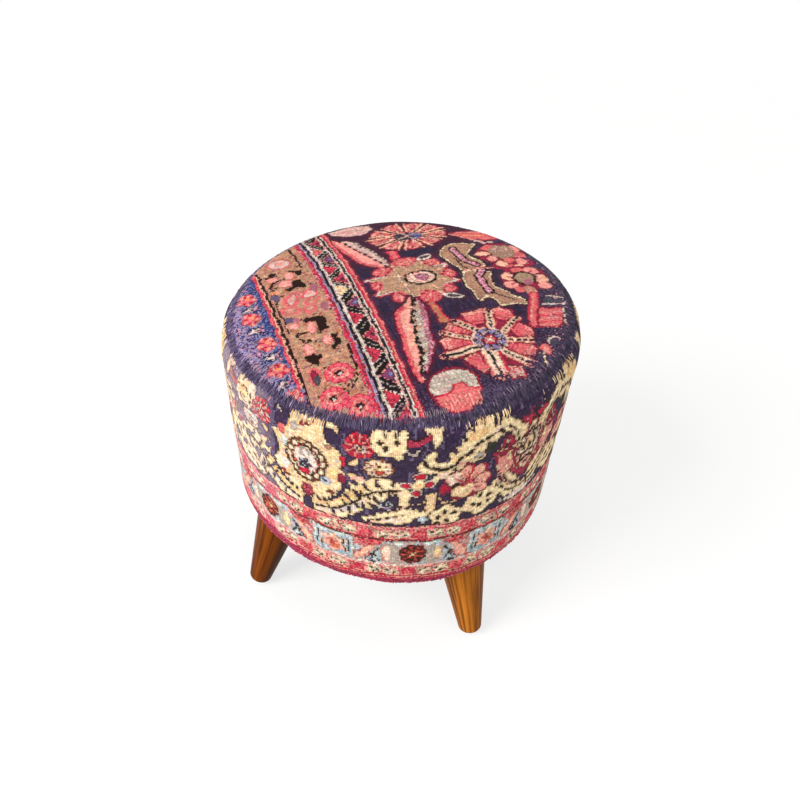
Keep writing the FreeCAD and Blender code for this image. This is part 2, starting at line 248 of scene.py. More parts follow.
def seatFar(loom):
    each(loom.oval, ("plum", 30, -120, 100, 60), ("navy", 45, -84, 26, 12))
    loom.patch("dusty", [(-28, -172), (-8, -178), (14, -172), (15, -160), (4, -150), (-12, -151),
        (-26, -160)])
    loom.fleck("pink", 0.3, -7, -163, 16, 8.9)
    # leaf with a dark rib, and the red stem beside it
    rib = [(-25, -144), (-18, -119), (-13, -103), (-7, -89), (-1, -75), (4, -63)]
    left = [(-32, -148), (-30, -125), (-24, -95), (-20, -81), (-11, -68), (1, -60)]
    loom.patch("pink", left + rib[::-1])
    each(loom.stroke, ("coral", 4, left), ("wine", 2, [(x - 2.6, y) for x, y in left], 9, 0.6))
    loom.patch("dusty", rib + [(9, -62), (6, -77), (-1, -95), (-9, -115), (-17, -139)])
    each(loom.stroke, ("stone", 3, [(-13, -130), (-6, -112), (1, -94), (6, -76)], 7, 0.6),
        ("black", 2.6, rib, 9, 0.66))
    loom.patch("coral", [(13, -106), (24, -106), (25, -70), (14, -70)])
    each(loom.stroke, ("red", 2.8, [(14, -106), (15, -70)]), ("red", 2.8, [(24, -106), (24, -70)]))
    # rosette cut by the far rim
    x, y, flat = 50, -127, 0.72
    loom.lobed("plum", x, y, 55, 9, 0.2, 12, flat)
    for k in range(9):
        a = math.radians(12 + 40 * k)
        px, py = x + 37 * math.cos(a), y + 37 * flat * math.sin(a)
        each(loom.oval, ("wine", px, py, 13, 9), ("coral", px, py, 11.5, 8),
            ("salmon", px + 3 * math.cos(a), py + 2 * math.sin(a), 7, 4.6),
            ("rosy", px - 3 * math.cos(a), py - 2 * math.sin(a), 5, 3))
    each(loom.spokes, ("coral", x, y, 14, 40, 9, 6, 12, flat), ("peach", x, y, 15, 50, 9, 3, 26, flat),
        ("peach", x, y, 15, 48, 9, 2.6, 38, flat), ("plum", x, y, 17, 49, 9, 2.2, 32, flat, 11),
        ("shell", x, y, 20, 46, 9, 1.8, 6, flat, 10), ("wine", x, y, 20, 46, 9, 1.8, 16, flat, 12))
    each(loom.oval, ("teal", x - 9, y + 1, 8.5, 10), ("slate", x + 8, y + 2, 9, 9))
    each(loom.spokes, ("navy", x, y, 4, 16, 6, 3.4, 30, 0.8), ("dusty", x, y, 0, 15, 4, 2.2, 62, 0.8))
    # coral leaf at the right
    leaf = [(100, -116), (112, -120), (128, -119), (146, -115), (162, -107), (160, -94), (148, -88),
        (132, -89), (117, -99)]
    loom.patch("coral", leaf, "wine", 2.4)
    each(loom.stroke, ("pink", 2.6, [(101, -115), (116, -99), (131, -86)]),
        ("pink", 2.2, [(112, -118), (136, -114), (156, -106)]), ("orange", 3.4, [(116, -108), (140, -102)]),
        ("dusty", 4, [(124, -90), (132, -82), (142, -82)]))


def seatStar(loom):
    for x, y, rx, ry in ((-14, -26, 9, 8), (2, 3, 10, 9), (31, 10, 14, 11), (65, -28, 8, 9), (55, 3, 8, 7),
            (56, -56, 8, 7), (27, -66, 15, 7), (-2, -52, 11, 7)):
        each(loom.oval, ("wine", x, y, rx + 3, ry + 3), ("coral", x, y, rx + 1, ry + 1))
        each(loom.fleck, ("salmon", 0.35, x, y, rx, ry), ("red", 0.2, x, y, rx, ry))
    star = [(-25, -40), (-2, -42), (8, -50), (11, -60), (24, -54), (33, -56), (42, -65), (46, -54),
        (52, -45), (69, -48), (62, -36), (57, -28), (63, -18), (71, -9), (56, -9), (49, -2), (47, 10),
        (38, 1), (29, -3), (22, 4), (14, 12), (9, 2), (2, -7), (-23, -8), (-13, -18), (-9, -27), (-14, -34)]
    each(loom.stroke, ("coral", 7, star + star[:1]),
        ("wine", 2, [(x * 1.1 - 3, y * 1.1 + 3) for x, y in star], 8, 0.6))
    loom.patch("khaki", star)
    each(loom.speckle, ("tan", 0.4, loom.inside(star)), ("olive", 0.2, loom.inside(star)))
    for tip in ([(-25, -40), (-4, -42)], [(-25, -40), (-19, -35)], [(-24, -8), (-3, -8)],
            [(-24, -8), (-17, -14)], [(70, -48), (56, -47)], [(70, -48), (66, -42)], [(72, -9), (57, -9)],
            [(72, -9), (67, -15)]):
        loom.stroke("white", 2.4, tip)
    for tip in ([(11, -61), (22, -55)], [(42, -66), (46, -56)], [(47, 11), (40, 3)], [(14, 13), (20, 6)]):
        loom.stroke("peach", 2.2, tip)
    loom.spokes("peach", 33, -27, 20, 31, 8, 2, 22)
    loom.stroke("shell", 1.8, [(9, -62), (10, -34), (12, -8), (14, 12)])
    loom.lobed("black", 33.5, -27, 19.4, 10, 0.1, 0, 0.82)
    loom.oval("shell", 33.5, -27, 15.6, 12.4)
    loom.fleck("pink", 0.35, 33, -28, 15, 12.5)
    loom.oval("mauve", 35, -27.5, 8.4, 8)
    loom.fleck("rose", 0.35, 34, -28, 8)
    for x, y, turn in ((51, -69, -12), (56, 18, 22)):
        each(loom.oval, ("white", x, y, 10.5, 5, turn), ("teal", x, y, 7.4, 2.6, turn))
    loom.stroke("white", 2.2, [(46, 13), (60, 14)])


def seatHooks(loom):
    hooks = ([(120, -83), (108, -88), (96, -90), (84, -86), (75, -77), (72, -63), (76, -51), (82, -37),
        (84, -26), (100, -25), (112, -31), (112, -41), (105, -51), (101, -61), (108, -70)],
        [(84, -26), (79, -11), (77, 6), (80, 20), (81, 34), (91, 27), (98, 37), (100, 47), (126, 51),
        (128, 43), (118, 32), (114, 22), (107, 12), (106, 1), (110, -10), (114, -18), (100, -23)])
    for hook in hooks:
        loom.stroke("black", 6.4, hook + hook[:1])
        loom.patch("bark", hook, "cream", 2.6)
        loom.speckle("tan", 0.4, loom.inside(hook))
    spines = ([(91, -78), (91, -64), (94, -50), (103, -36)], [(107, -24), (97, -12), (96, 4), (98, 20)])
    for spine in spines:
        each(loom.stroke, ("brown", 11, spine), ("rose", 6.4, spine),
            ("mauve", 2, [(x + 1, y) for x, y in spine], 6, 0.5))
    each(loom.stroke, ("brown", 2.2, [(100, 22), (110, 34), (120, 42)]),
        ("brown", 2.2, [(84, -56), (88, -38), (90, -28)]))
    for ray in ([(84, -27), (104, -27)], [(100, -27), (112, -33)], [(104, -27), (124, -25)]):
        loom.stroke("pink", 2, ray)


def seatRight(loom):
    loom.oval("wine", 142, -54, 30, 24)
    each(loom.oval, ("peach", 120, -57, 9, 5), ("pink", 127, -44, 7, 6), ("coral", 132, -70, 9, 6),
        ("pink", 162, -62, 8, 9), ("coral", 162, -46, 8, 7))
    loom.lobed("olive", 145, -57, 17, 7, 0.22)
    each(loom.fleck, ("dusty", 0.4, 145, -57, 14), ("taupe", 0.3, 145, -57, 15))
    each(loom.oval, ("wine", 147, -27, 26, 12), ("peach", 134, -31, 7, 7), ("coral", 146, -37, 6, 6),
        ("pink", 158, -31, 7, 7), ("coral", 141, -22, 6, 5), ("peach", 151, -21, 6, 5))
    loom.oval("wine", 147, 3, 27, 26)
    each(loom.oval, ("peach", 129, -4, 8, 8), ("pink", 126, 14, 8, 8), ("coral", 132, 25, 6, 6),
        ("pink", 160, -10, 8, 8), ("peach", 165, 9, 8, 9), ("pink", 163, 23, 8, 6), ("coral", 145, -14, 8, 5))
    for x, y in ((129, -4), (126, 14), (165, 9), (160, -10)):
        loom.stroke("red", 1.8, [(x, y), (x + (146 - x) * 0.4, y + (4 - y) * 0.4)])
    each(loom.lobed, ("black", 146, 4, 14.5, 9, 0.16), ("olive", 146, 4, 11.5, 7, 0.14))
    each(loom.oval, ("mauve", 147, 12, 6, 6), ("taupe", 143, 28, 7, 8))
    each(loom.stroke, ("red", 11, [(142, 37), (136, 50), (119, 87)]),
        ("coral", 6.4, [(142, 37), (136, 50), (119, 87)]), ("salmon", 2.4, [(139, 42), (118, 84)], 8, 0.7))
    block = [(137, 61), (163, 66), (153, 91), (145, 97), (121, 91), (131, 74)]
    loom.patch("coral", block, "wine", 2.2)
    for k in range(5):
        loom.stroke("red" if k % 2 else "pink", 1.8,
            [(134 - 2.4 * k, 70 + 5 * k), (158 - 2.2 * k, 72 + 5 * k)])
    loom.stroke("white", 2.6, [(163, 68), (155, 92)], 9, 0.6)
    loom.patch("teal", [(146, 54), (169, 59), (173, 50), (155, 43)])
    each(loom.stroke, ("white", 2.6, [(145, 56), (168, 60), (171, 55)]),
        ("white", 2.6, [(154, 42), (173, 47)]),
        ("white", 2.4, [(122, 119), (125, 112), (132, 110), (136, 114)]))
    each(loom.oval, ("teal", 128, 118, 5, 5), ("coral", 115, 126, 6, 8), ("pink", 115, 128, 3, 5))
    loom.stroke("cream", 2.2, [(108, 147), (110, 130)])


def seatLong(loom):
    # the long leaf with its dark rib, the stem and the bud below it
    rib = [(11, 10), (7, 22), (3, 34), (-2, 50), (-5, 70), (-8, 86), (-9, 98), (-13, 110), (-18, 128)]
    left = [(10, 6), (-6, 23), (-16, 32), (-19, 50), (-21, 70), (-24, 90), (-26, 114), (-25, 136)]
    inner = [(13, 12), (14, 26), (11, 42), (5, 68), (2, 90), (-6, 110), (-16, 128)]
    right = [(16, 12), (20, 28), (17, 44), (11, 70), (8, 92), (0, 110), (-14, 130)]
    each(loom.stroke, ("plum", 7, left), ("plum", 7, right))
    loom.patch("salmon", left + rib[::-1])
    loom.speckle("peach", 0.35, loom.inside(left + rib[::-1]), 2)
    each(loom.stroke, ("coral", 6, [(x + 2.4, y) for x, y in left[1:]]),
        ("red", 2, [(x + 0.4, y) for x, y in left[1:]], 12, 0.6),
        ("salmon", 2.4, [(x + 6, y + 2) for x, y in left[2:]], 9, 0.5))
    loom.patch("grey", rib + inner[::-1])
    each(loom.speckle, ("stone", 0.5, loom.inside(rib + inner[::-1])),
        ("taupe", 0.2, loom.inside(rib + inner[::-1])))
    loom.patch("mauve", inner + right[::-1])
    loom.speckle("rose", 0.5, loom.inside(inner + right[::-1]))
    each(loom.stroke, ("wine", 1.8, right, 8, 0.6), ("black", 3, rib, 16, 0.86),
        ("black", 2.4, [(x + 2.2, y + 3) for x, y in rib], 9, 0.4))
    loom.patch("tawny", [(24, 23), (32, 23), (33, 46), (37, 60), (27, 60), (25, 46)])
    each(loom.stroke, ("wine", 2, [(24, 23), (26, 58)]), ("red", 2, [(32, 23), (33, 46), (37, 60)]))
    bud = [(-20, 158), (-18, 143), (-9, 133), (8, 127), (25, 132), (34, 146), (32, 162), (24, 177),
        (10, 187), (-6, 184), (-17, 173)]
    loom.stroke("plum", 5, bud + bud[:1])
    each(loom.patch, ("wine", bud), ("grey",
        [(-18, 159), (-16, 145), (-8, 136), (8, 130), (24, 135), (31, 147), (30, 160), (14, 160), (-4, 162)]))
    lines = (loom.x % 4.8 < 1.6) | (loom.y % 4.8 < 1.6)
    loom.paint(lines & loom.near(7, 147, 22, 12) & loom.holds("grey"), "stone")
    loom.patch("coral", [(-17, 163), (0, 161), (8, 152), (14, 151), (19, 158), (31, 162), (24, 175),
        (10, 185), (-5, 182), (-15, 173)])
    loom.speckle("dusty", 0.3, loom.holds("grey") & (loom.y > 128), 2)
    loom.stroke("red", 2.2, [(-15, 162), (0, 160), (8, 151), (14, 150), (20, 158), (29, 161)])
    for k in range(9):
        loom.stroke("salmon", 1.7, [(-11 + 4.8 * k, 165), (-7 + 3.9 * k, 180)])


def seatRosette(loom):
    # square-ended petals ribbed across, and pale bars with a dark line between them
    x, y = 65, 99
    petals = ([(52, 52), (76, 50), (77, 64), (70, 72), (58, 72), (52, 62)],
        [(86, 54), (96, 51), (104, 58), (104, 72), (94, 77), (84, 68)],
        [(96, 83), (104, 79), (113, 92), (112, 103), (102, 105), (92, 98)],
        [(84, 110), (102, 112), (107, 122), (98, 133), (88, 128), (76, 114)],
        [(64, 142), (79, 145), (80, 158), (66, 158)],
        [(30, 121), (46, 113), (49, 140), (42, 145), (35, 134)],
        [(15, 88), (30, 84), (49, 93), (49, 104), (24, 104), (16, 98)],
        [(27, 70), (34, 63), (46, 67), (54, 82), (44, 85), (30, 78)])
    bars = ((82, 55, 73, 84, 4.4, 5), (106, 73, 79, 95, 4, 5), (109, 110, 80, 104, 4, 7),
        (89, 140, 70, 117, 5, 5), (57, 149, 57, 113, 8, 0), (14, 111, 51, 107, 5.4, 0),
        (23, 78, 49, 92, 3.8, 5), (40, 62, 60, 83, 3.8, 5))
    loom.lobed("wine", x, y, 50, 8, 0.16, -6)
    for petal in petals:
        cx, cy = np.mean(petal, axis=0)
        far = math.hypot(cx - x, cy - y)
        out = ((loom.x - x) * (cx - x) + (loom.y - y) * (cy - y)) / far - far
        each(loom.stroke, ("plum", 6, petal + petal[:1]), ("wine", 3.4, petal + petal[:1]))
        loom.patch("coral", petal)
        inside = loom.inside(petal)
        loom.paint(inside & (out > 4), "salmon")
        loom.paint(inside & (out % 4.8 < 1.7), "rosy")
        loom.stroke("peach", 2, [petal[0], petal[1]])
        loom.paint(inside & (out < -5) & (out % 4.8 > 3.2), "red")
        loom.speckle("pink", 0.08, inside)
    loom.speckle("dusty", 0.6, loom.inside(petals[4]))
    for x0, y0, x1, y1, half, dash in bars:
        long = math.hypot(x1 - x0, y1 - y0)
        nx, ny = (y1 - y0) / long, (x0 - x1) / long
        for wide, dye in ((half + 2, "wine"), (half, "peach"), (half - 1.8, "shell")):
            loom.patch(dye, [(x0 + nx * wide, y0 + ny * wide), (x1 + nx * wide, y1 + ny * wide),
                (x1 - nx * wide, y1 - ny * wide), (x0 - nx * wide, y0 - ny * wide)])
        loom.stroke("coral", 1.9, [(x0 + nx * half, y0 + ny * half), (x1 + nx * half, y1 + ny * half)], 9,
            0.6)
        loom.fleck("salmon", 0.3, x0, y0, half + 2)
        loom.stroke("black", 2.9, [(x0, y0), (x1, y1)], dash, 0.62)
    loom.stroke("red", 2.2, [(66, 116), (66, 148)])
    each(loom.lobed, ("shell", x, y, 19.5, 8, 0.14), ("slate", x, y, 18, 8, 0.24, 10))
    each(loom.spokes, ("navy", x, y, 8.5, 16, 8, 3.6, 12), ("lilac", x, y, 11, 16, 8, 2.2, 34))
    loom.speckle("dusty", 0.24, np.abs(np.hypot(loom.x - x, loom.y - y) - 13) < 4.5)
    each(loom.oval, ("wine", x, y, 8, 8), ("coral", x, y, 5.6, 5.6))
    loom.spokes("shell", x, y, 0, 5, 4, 1.8, 45)


def seatStripes(loom):
    each(loom.band, ("coral", -37.6, -33), ("red", -38.4, -35.6), ("white", -40, -38.2),
        ("black", -42.8, -40), ("white", -45.4, -42.8), ("black", -61.2, -45.4), ("white", -64, -61.2),
        ("black", -67.8, -64.4), ("stone", -64.5, -64), ("lilac", -70.4, -67.8), ("red", -76.4, -70.4),
        ("tan", -131, -76.4), ("taupe", -134.2, -131), ("brown", -137.2, -134), ("peach", -139.2, -137.2),
        ("rosy", -142.8, -139.2), ("blue", -230, -142.8))
    x = loom.x
    each(loom.speckle, ("rose", 0.35, (x > -76.4) & (x < -73.4)), ("wine", 0.3, (x > -73.4) & (x < -70.4)),
        ("dusty", 0.3, (x > -70.4) & (x < -68.6)), ("pink", 0.4, (x > -35.6) & (x < -33)),
        ("pink", 0.3, (x > -45.4) & (x < -42.8)))
    loom.paint((x > -33) & (x < -31.4), "wine")


def seatZigzag(loom):
    # red triangles stand on the left line, purple ones on the right, a dark slanted bar between each pair
    left, right = (-174, -127, -80, -33, 22, 86, 150), (-150, -104, -55, -5, 56, 119, 178)
    tints = ("coral", "coral", "red", "sand", "red", "red", "red")
    for a, b in zip(left, right):
        m = (a + b) / 2
        loom.stroke("stone", 2.2, [(-60, m + 6.5), (-46, m - 6.5)], 4.6, 0.5)
    for a, b in zip(left[1:], right):
        m = (a + b) / 2
        loom.stroke("stone", 2.2, [(-60, m - 6.5), (-46, m + 6.5)], 4.6, 0.5)
    for dye, c in zip(tints, left):
        h = 10.5 + 0.012 * (c + 160)
        loom.patch(dye, [(-61, c - h), (-61, c + h), (-47, c)])
        for way in (-1, 1):
            loom.stroke("white", 1.9, [(-61, c + way * (h + 1.4)), (-46, c)], 4.4, 0.62)
        loom.speckle("wine" if dye != "sand" else "stone", 0.25,
            loom.inside([(-61, c - h), (-61, c + h), (-52, c)]))
    for i, c in enumerate(right):
        h = 10 + 0.012 * (c + 160)
        loom.patch("grape" if i % 2 else "rouge", [(-45.4, c - h), (-45.4, c + h), (-59, c)])
        for way in (-1, 1):
            loom.stroke("pink", 1.7, [(-45.4, c + way * (h + 1.2)), (-60, c)], 9, 0.7)
        loom.oval("slate" if i % 2 else "plum", -49, c, 2.2, 3)


def seatBand(loom):
    x, y = loom.x, loom.y
    inTan = (x > -131) & (x < -76.4)
    each(loom.speckle, ("khaki", 0.35, inTan, 3), ("taupe", 0.14, inTan), ("tawny", 0.12, inTan, 2),
        ("mauve", 0.07, inTan), ("brown", 0.025, inTan))
    loom.paint((x > -85.4) & (x < -83) & (y < -98), "brown")
    loom.paint((x > -78.4) & (x < -76) & (y > 60) & (y < 98), "brown")
    loom.paint((x > -131) & (x < -128.8) & (y > -60) & (y < 25), "brown")
    each(loom.stroke, ("black", 2.4, [(-77.5, 96), (-81, 115), (-94, 132)], 9, 0.7),
        ("black", 2.4, [(-83, 108), (-88, 119), (-99, 127)], 7, 0.6))
    # scrolls in faded red on a pinker ground
    loom.oval("taupe", -104, -26, 25, 27)
    each(loom.fleck, ("tan", 0.4, -104, -26, 26, 28), ("salmon", 0.16, -100, -28, 22, 24))
    for sx, sy, rx, ry, turn in ((-114, -36, 6, 10, 28), (-119, -16, 8, 5.4, 10), (-98, -12, 6, 6, 0),
            (-92, -40, 9, 7, 0), (-106, -118, 12, 10.5, 0)):
        each(loom.oval, ("coral", sx, sy, rx + 2.4, ry + 2.4, turn),
            ("dusty" if sy < -30 else "taupe", sx, sy, rx, ry, turn),
            ("salmon", sx + 1, sy - 1, rx * 0.4, ry * 0.4, turn))
    for scroll in ([(-104, -48), (-110, -46), (-119, -38), (-120, -28), (-112, -24), (-106, -30),
            (-106, -40)], [(-128, -14), (-122, -22), (-112, -21), (-108, -12), (-114, -8)],
            [(-98, -22), (-105, -14), (-100, -4), (-93, -8), (-90, -20), (-84, -28)],
            [(-100, -34), (-93, -48), (-83, -44), (-84, -34), (-94, -30), (-100, -24)]):
        each(loom.stroke, ("coral", 3, scroll), ("rosy", 1.8, scroll, 9, 0.5))
    each(loom.oval, ("orange", -126, -56, 5, 4), ("haze", -128, -46, 4.4, 9), ("mauve", -83, -51, 5, 8),
        ("mauve", -82, -9, 4, 9), ("haze", -124, 1, 5.4, 5), ("mauve", -117, 4, 3.4, 4.6))
    for px, py, rx, ry in ((-122, -86, 6, 4.4), (-103, -86, 4.6, 8), (-110, -70, 8.6, 7),
            (-105, 22, 4.4, 9), (-117, 58, 4.6, 9), (-95, 48, 4, 9), (-121, 13, 5, 4)):
        each(loom.oval, ("coral", px, py, rx + 0.8, ry + 0.8), ("pink", px, py, rx, ry))
    for block in ([(-131, -96), (-128, -94), (-124, -95), (-124, -100), (-121, -102), (-115, -98),
            (-115, -93), (-120, -92), (-124, -91), (-128, -88), (-131, -92)],
            [(-100, -97), (-94, -93), (-92, -95), (-87, -92), (-87, -87), (-90, -81), (-95, -81),
            (-96, -90), (-100, -93)], [(-103, -73), (-92, -74), (-91, -55), (-96, -56), (-102, -58),
            (-108, -53), (-113, -54), (-112, -58), (-104, -62), (-103, -68)],
            [(-109, 7), (-105, 3), (-102, 6), (-88, 5), (-87, 31), (-99, 31), (-99, 22), (-98, 14),
            (-104, 12), (-108, 13)], [(-89, 40), (-81, 41), (-84, 46), (-81, 50), (-82, 60), (-88, 60),
            (-90, 67), (-95, 63), (-92, 59), (-88, 56), (-89, 48)],
            [(-123, 66), (-113, 64), (-110, 67), (-106, 67), (-105, 73), (-110, 74), (-110, 81), (-114, 84),
            (-118, 78), (-123, 74)]):
        loom.patch("brown", block)
    for vine in ([(-110, -82), (-116, -81), (-121, -77), (-126, -74), (-130, -70), (-129, -66),
            (-122, -66)], [(-124, -77), (-127, -70)], [(-124, 30), (-121, 27), (-119, 30), (-112, 28)]):
        loom.stroke("brown", 2.2, vine)
    for vine in ([(-123, 32), (-121, 36), (-119, 40), (-117, 46)], [(-112, 44), (-108, 46), (-103, 49)]):
        loom.stroke("brown", 4, vine, 5, 0.7)
    # full rosettes at the near end
    for rx, ry, r in ((-96, 101, 14), (-109, 133, 14), (-87, 150, 13.5), (-122, 160, 12), (-100, 172, 12)):
        each(loom.lobed, ("red", rx, ry, r + 1.4, 9, 0.1), ("rosy", rx, ry, r, 9, 0.1))
        loom.petals("red", rx, ry, r * 0.5, r, 9, 5, 20)
        each(loom.lobed, ("salmon", rx, ry, r * 0.66, 9, 0.12), ("coral", rx, ry, r * 0.56, 7, 0.2))
        loom.fleck("salmon", 0.2, rx, ry, r * 0.6)
        loom.lobed("brown", rx, ry, r * 0.34, 4, 0.4, 20)
        loom.oval("white", rx + 0.6, ry + 1.2, r * 0.14)
    each(loom.oval, ("coral", -120.5, 98, 7.4, 13), ("wine", -121, 97, 4.6, 8), ("teal", -119, 104, 4, 7))


def seatGuard(loom):
    x = loom.x
    guard = x < -142.8
    each(loom.speckle, ("deep", 0.45, guard), ("slate", 0.24, guard), ("lilac", 0.08, guard),
        ("lilac", 0.22, guard & (x < -160)), ("rose", 0.2, guard & (x < -166)),
        ("lilac", 0.4, guard & (x < -169)))
    for fx, fy in ((-164, -106), (-159, -57), (-162, -17), (-155, 31), (-154, 76), (-148, 118)):
        loom.lobed("lilac", fx - 1, fy, 14, 7, 0.2, 30, 1.1)
        each(loom.fleck, ("slate", 0.3, fx - 1, fy, 14), ("grape", 0.3, fx - 1, fy, 13))
        loom.lobed("rosy", fx, fy, 11, 5, 0.3, 20, 1.15)
        each(loom.petals, ("ruby", fx, fy, 4, 9, 5, 12, 56, 1.15), ("pink", fx, fy, 5, 10, 5, 10, 20, 1.15))
        loom.fleck("salmon", 0.2, fx, fy, 10, 12)
        each(loom.oval, ("orange", fx + 1, fy - 2, 2.8, 3.2), ("deep", fx, fy + 22, 9, 7))
        each(loom.stroke, ("white", 3.4, [(fx - 6, fy + 23), (fx + 4, fy + 20)]),
            ("white", 3, [(fx - 1, fy + 18), (fx + 1, fy + 26)]),
            ("rose", 2.4, [(fx + 4, fy + 25), (fx + 7, fy + 19)]))
        each(loom.oval, ("navy", fx + 3, fy + 22.5, 2.2, 1.8), ("navy", fx - 4, fy + 19, 2.2, 1.8))
        loom.fleck("lilac", 0.16, fx, fy + 22, 10)
        loom.stroke("rose", 1.8, [(fx + 9, fy + 10), (fx + 8, fy + 30)], 6, 0.4)
    loom.speckle("red", 0.5, (x > -142.8) & (x < -139.2), 2)


wearSheenSeam = {"from": 138, "over": 46, "least": 0.05, "share": 0.85, "dark": 0.09, "keeps": 0.45, "yarn": 0.85,
        "white": 0.04, "sewnFrom": 183, "sewnOver": 6, "sewn": 0.6}


def seatColours(u, v):
    bend = np.interp(v, bendAt, bendBy) * np.interp(u, [-40, 0], [1, 0])
    bend = bend + np.interp(v, [-120, 0, 110], [-1, 0, 2.6]) * np.interp(u, [-130, -115], [1, 0])
    loom = Loom(u - bend, v, "navy")
    each(loom.speckle, ("plum", 0.2, np.ones(len(u), bool)), ("ink", 0.35, np.ones(len(u), bool), 4))
    for paint in (seatFar, seatStar, seatHooks, seatRight, seatLong, seatRosette, seatStripes, seatZigzag,
            seatBand, seatGuard):
        paint(loom)
    # pile worn pale towards the near and right rim, with a painted sheen of pale fuzz there too; seam yarn
    # showing through at the edge
    reach = np.hypot(u, v)
    paling = np.clip((reach - wearSheenSeam["from"]) / wearSheenSeam["over"], 0, 1)
    paling = paling * np.clip((u + 0.8 * v + 10) / 150, wearSheenSeam["least"], 1)
    wornSheen = (rng.random(len(u)) < wearSheenSeam["share"] * paling) & (loom.colour.max(1) < wearSheenSeam["dark"])
    wornSheenTo = dyes["thread"] * wearSheenSeam["yarn"] + dyes["white"] * wearSheenSeam["white"]
    loom.colour[wornSheen] = wearSheenSeam["keeps"] * loom.colour[wornSheen] + (1 - wearSheenSeam["keeps"]) * wornSheenTo
    loom.speckle("rose", 0.05, (paling > 0.5) & (u > 70))
    sewn = np.clip((reach - wearSheenSeam["sewnFrom"]) / wearSheenSeam["sewnOver"], 0, 1)[:, None] * wearSheenSeam["sewn"]
    loom.colour = loom.colour * (1 - sewn) + dyes["thread"] * sewn
    return loom.colour


print("stage: side pattern")
# the two palmettes' axes, where the first one's own left half starts and ends, where the border starts,
# how often it repeats, the middles of its rows, where the pattern starts to sag and where it is sewn
strip = {"axes": (-88.4, 154), "own": (442, 74), "border": 111.4, "repeats": 7, "first": 28.5,
    "guards": (126.4, 192.0), "band": 160.5, "sagFrom": 30, "sagOver": 140, "sewnTo": -21, "sewnOver": 6,
    "sewn": 0.7}
period = 2 * (strip["axes"][1] - strip["axes"][0])


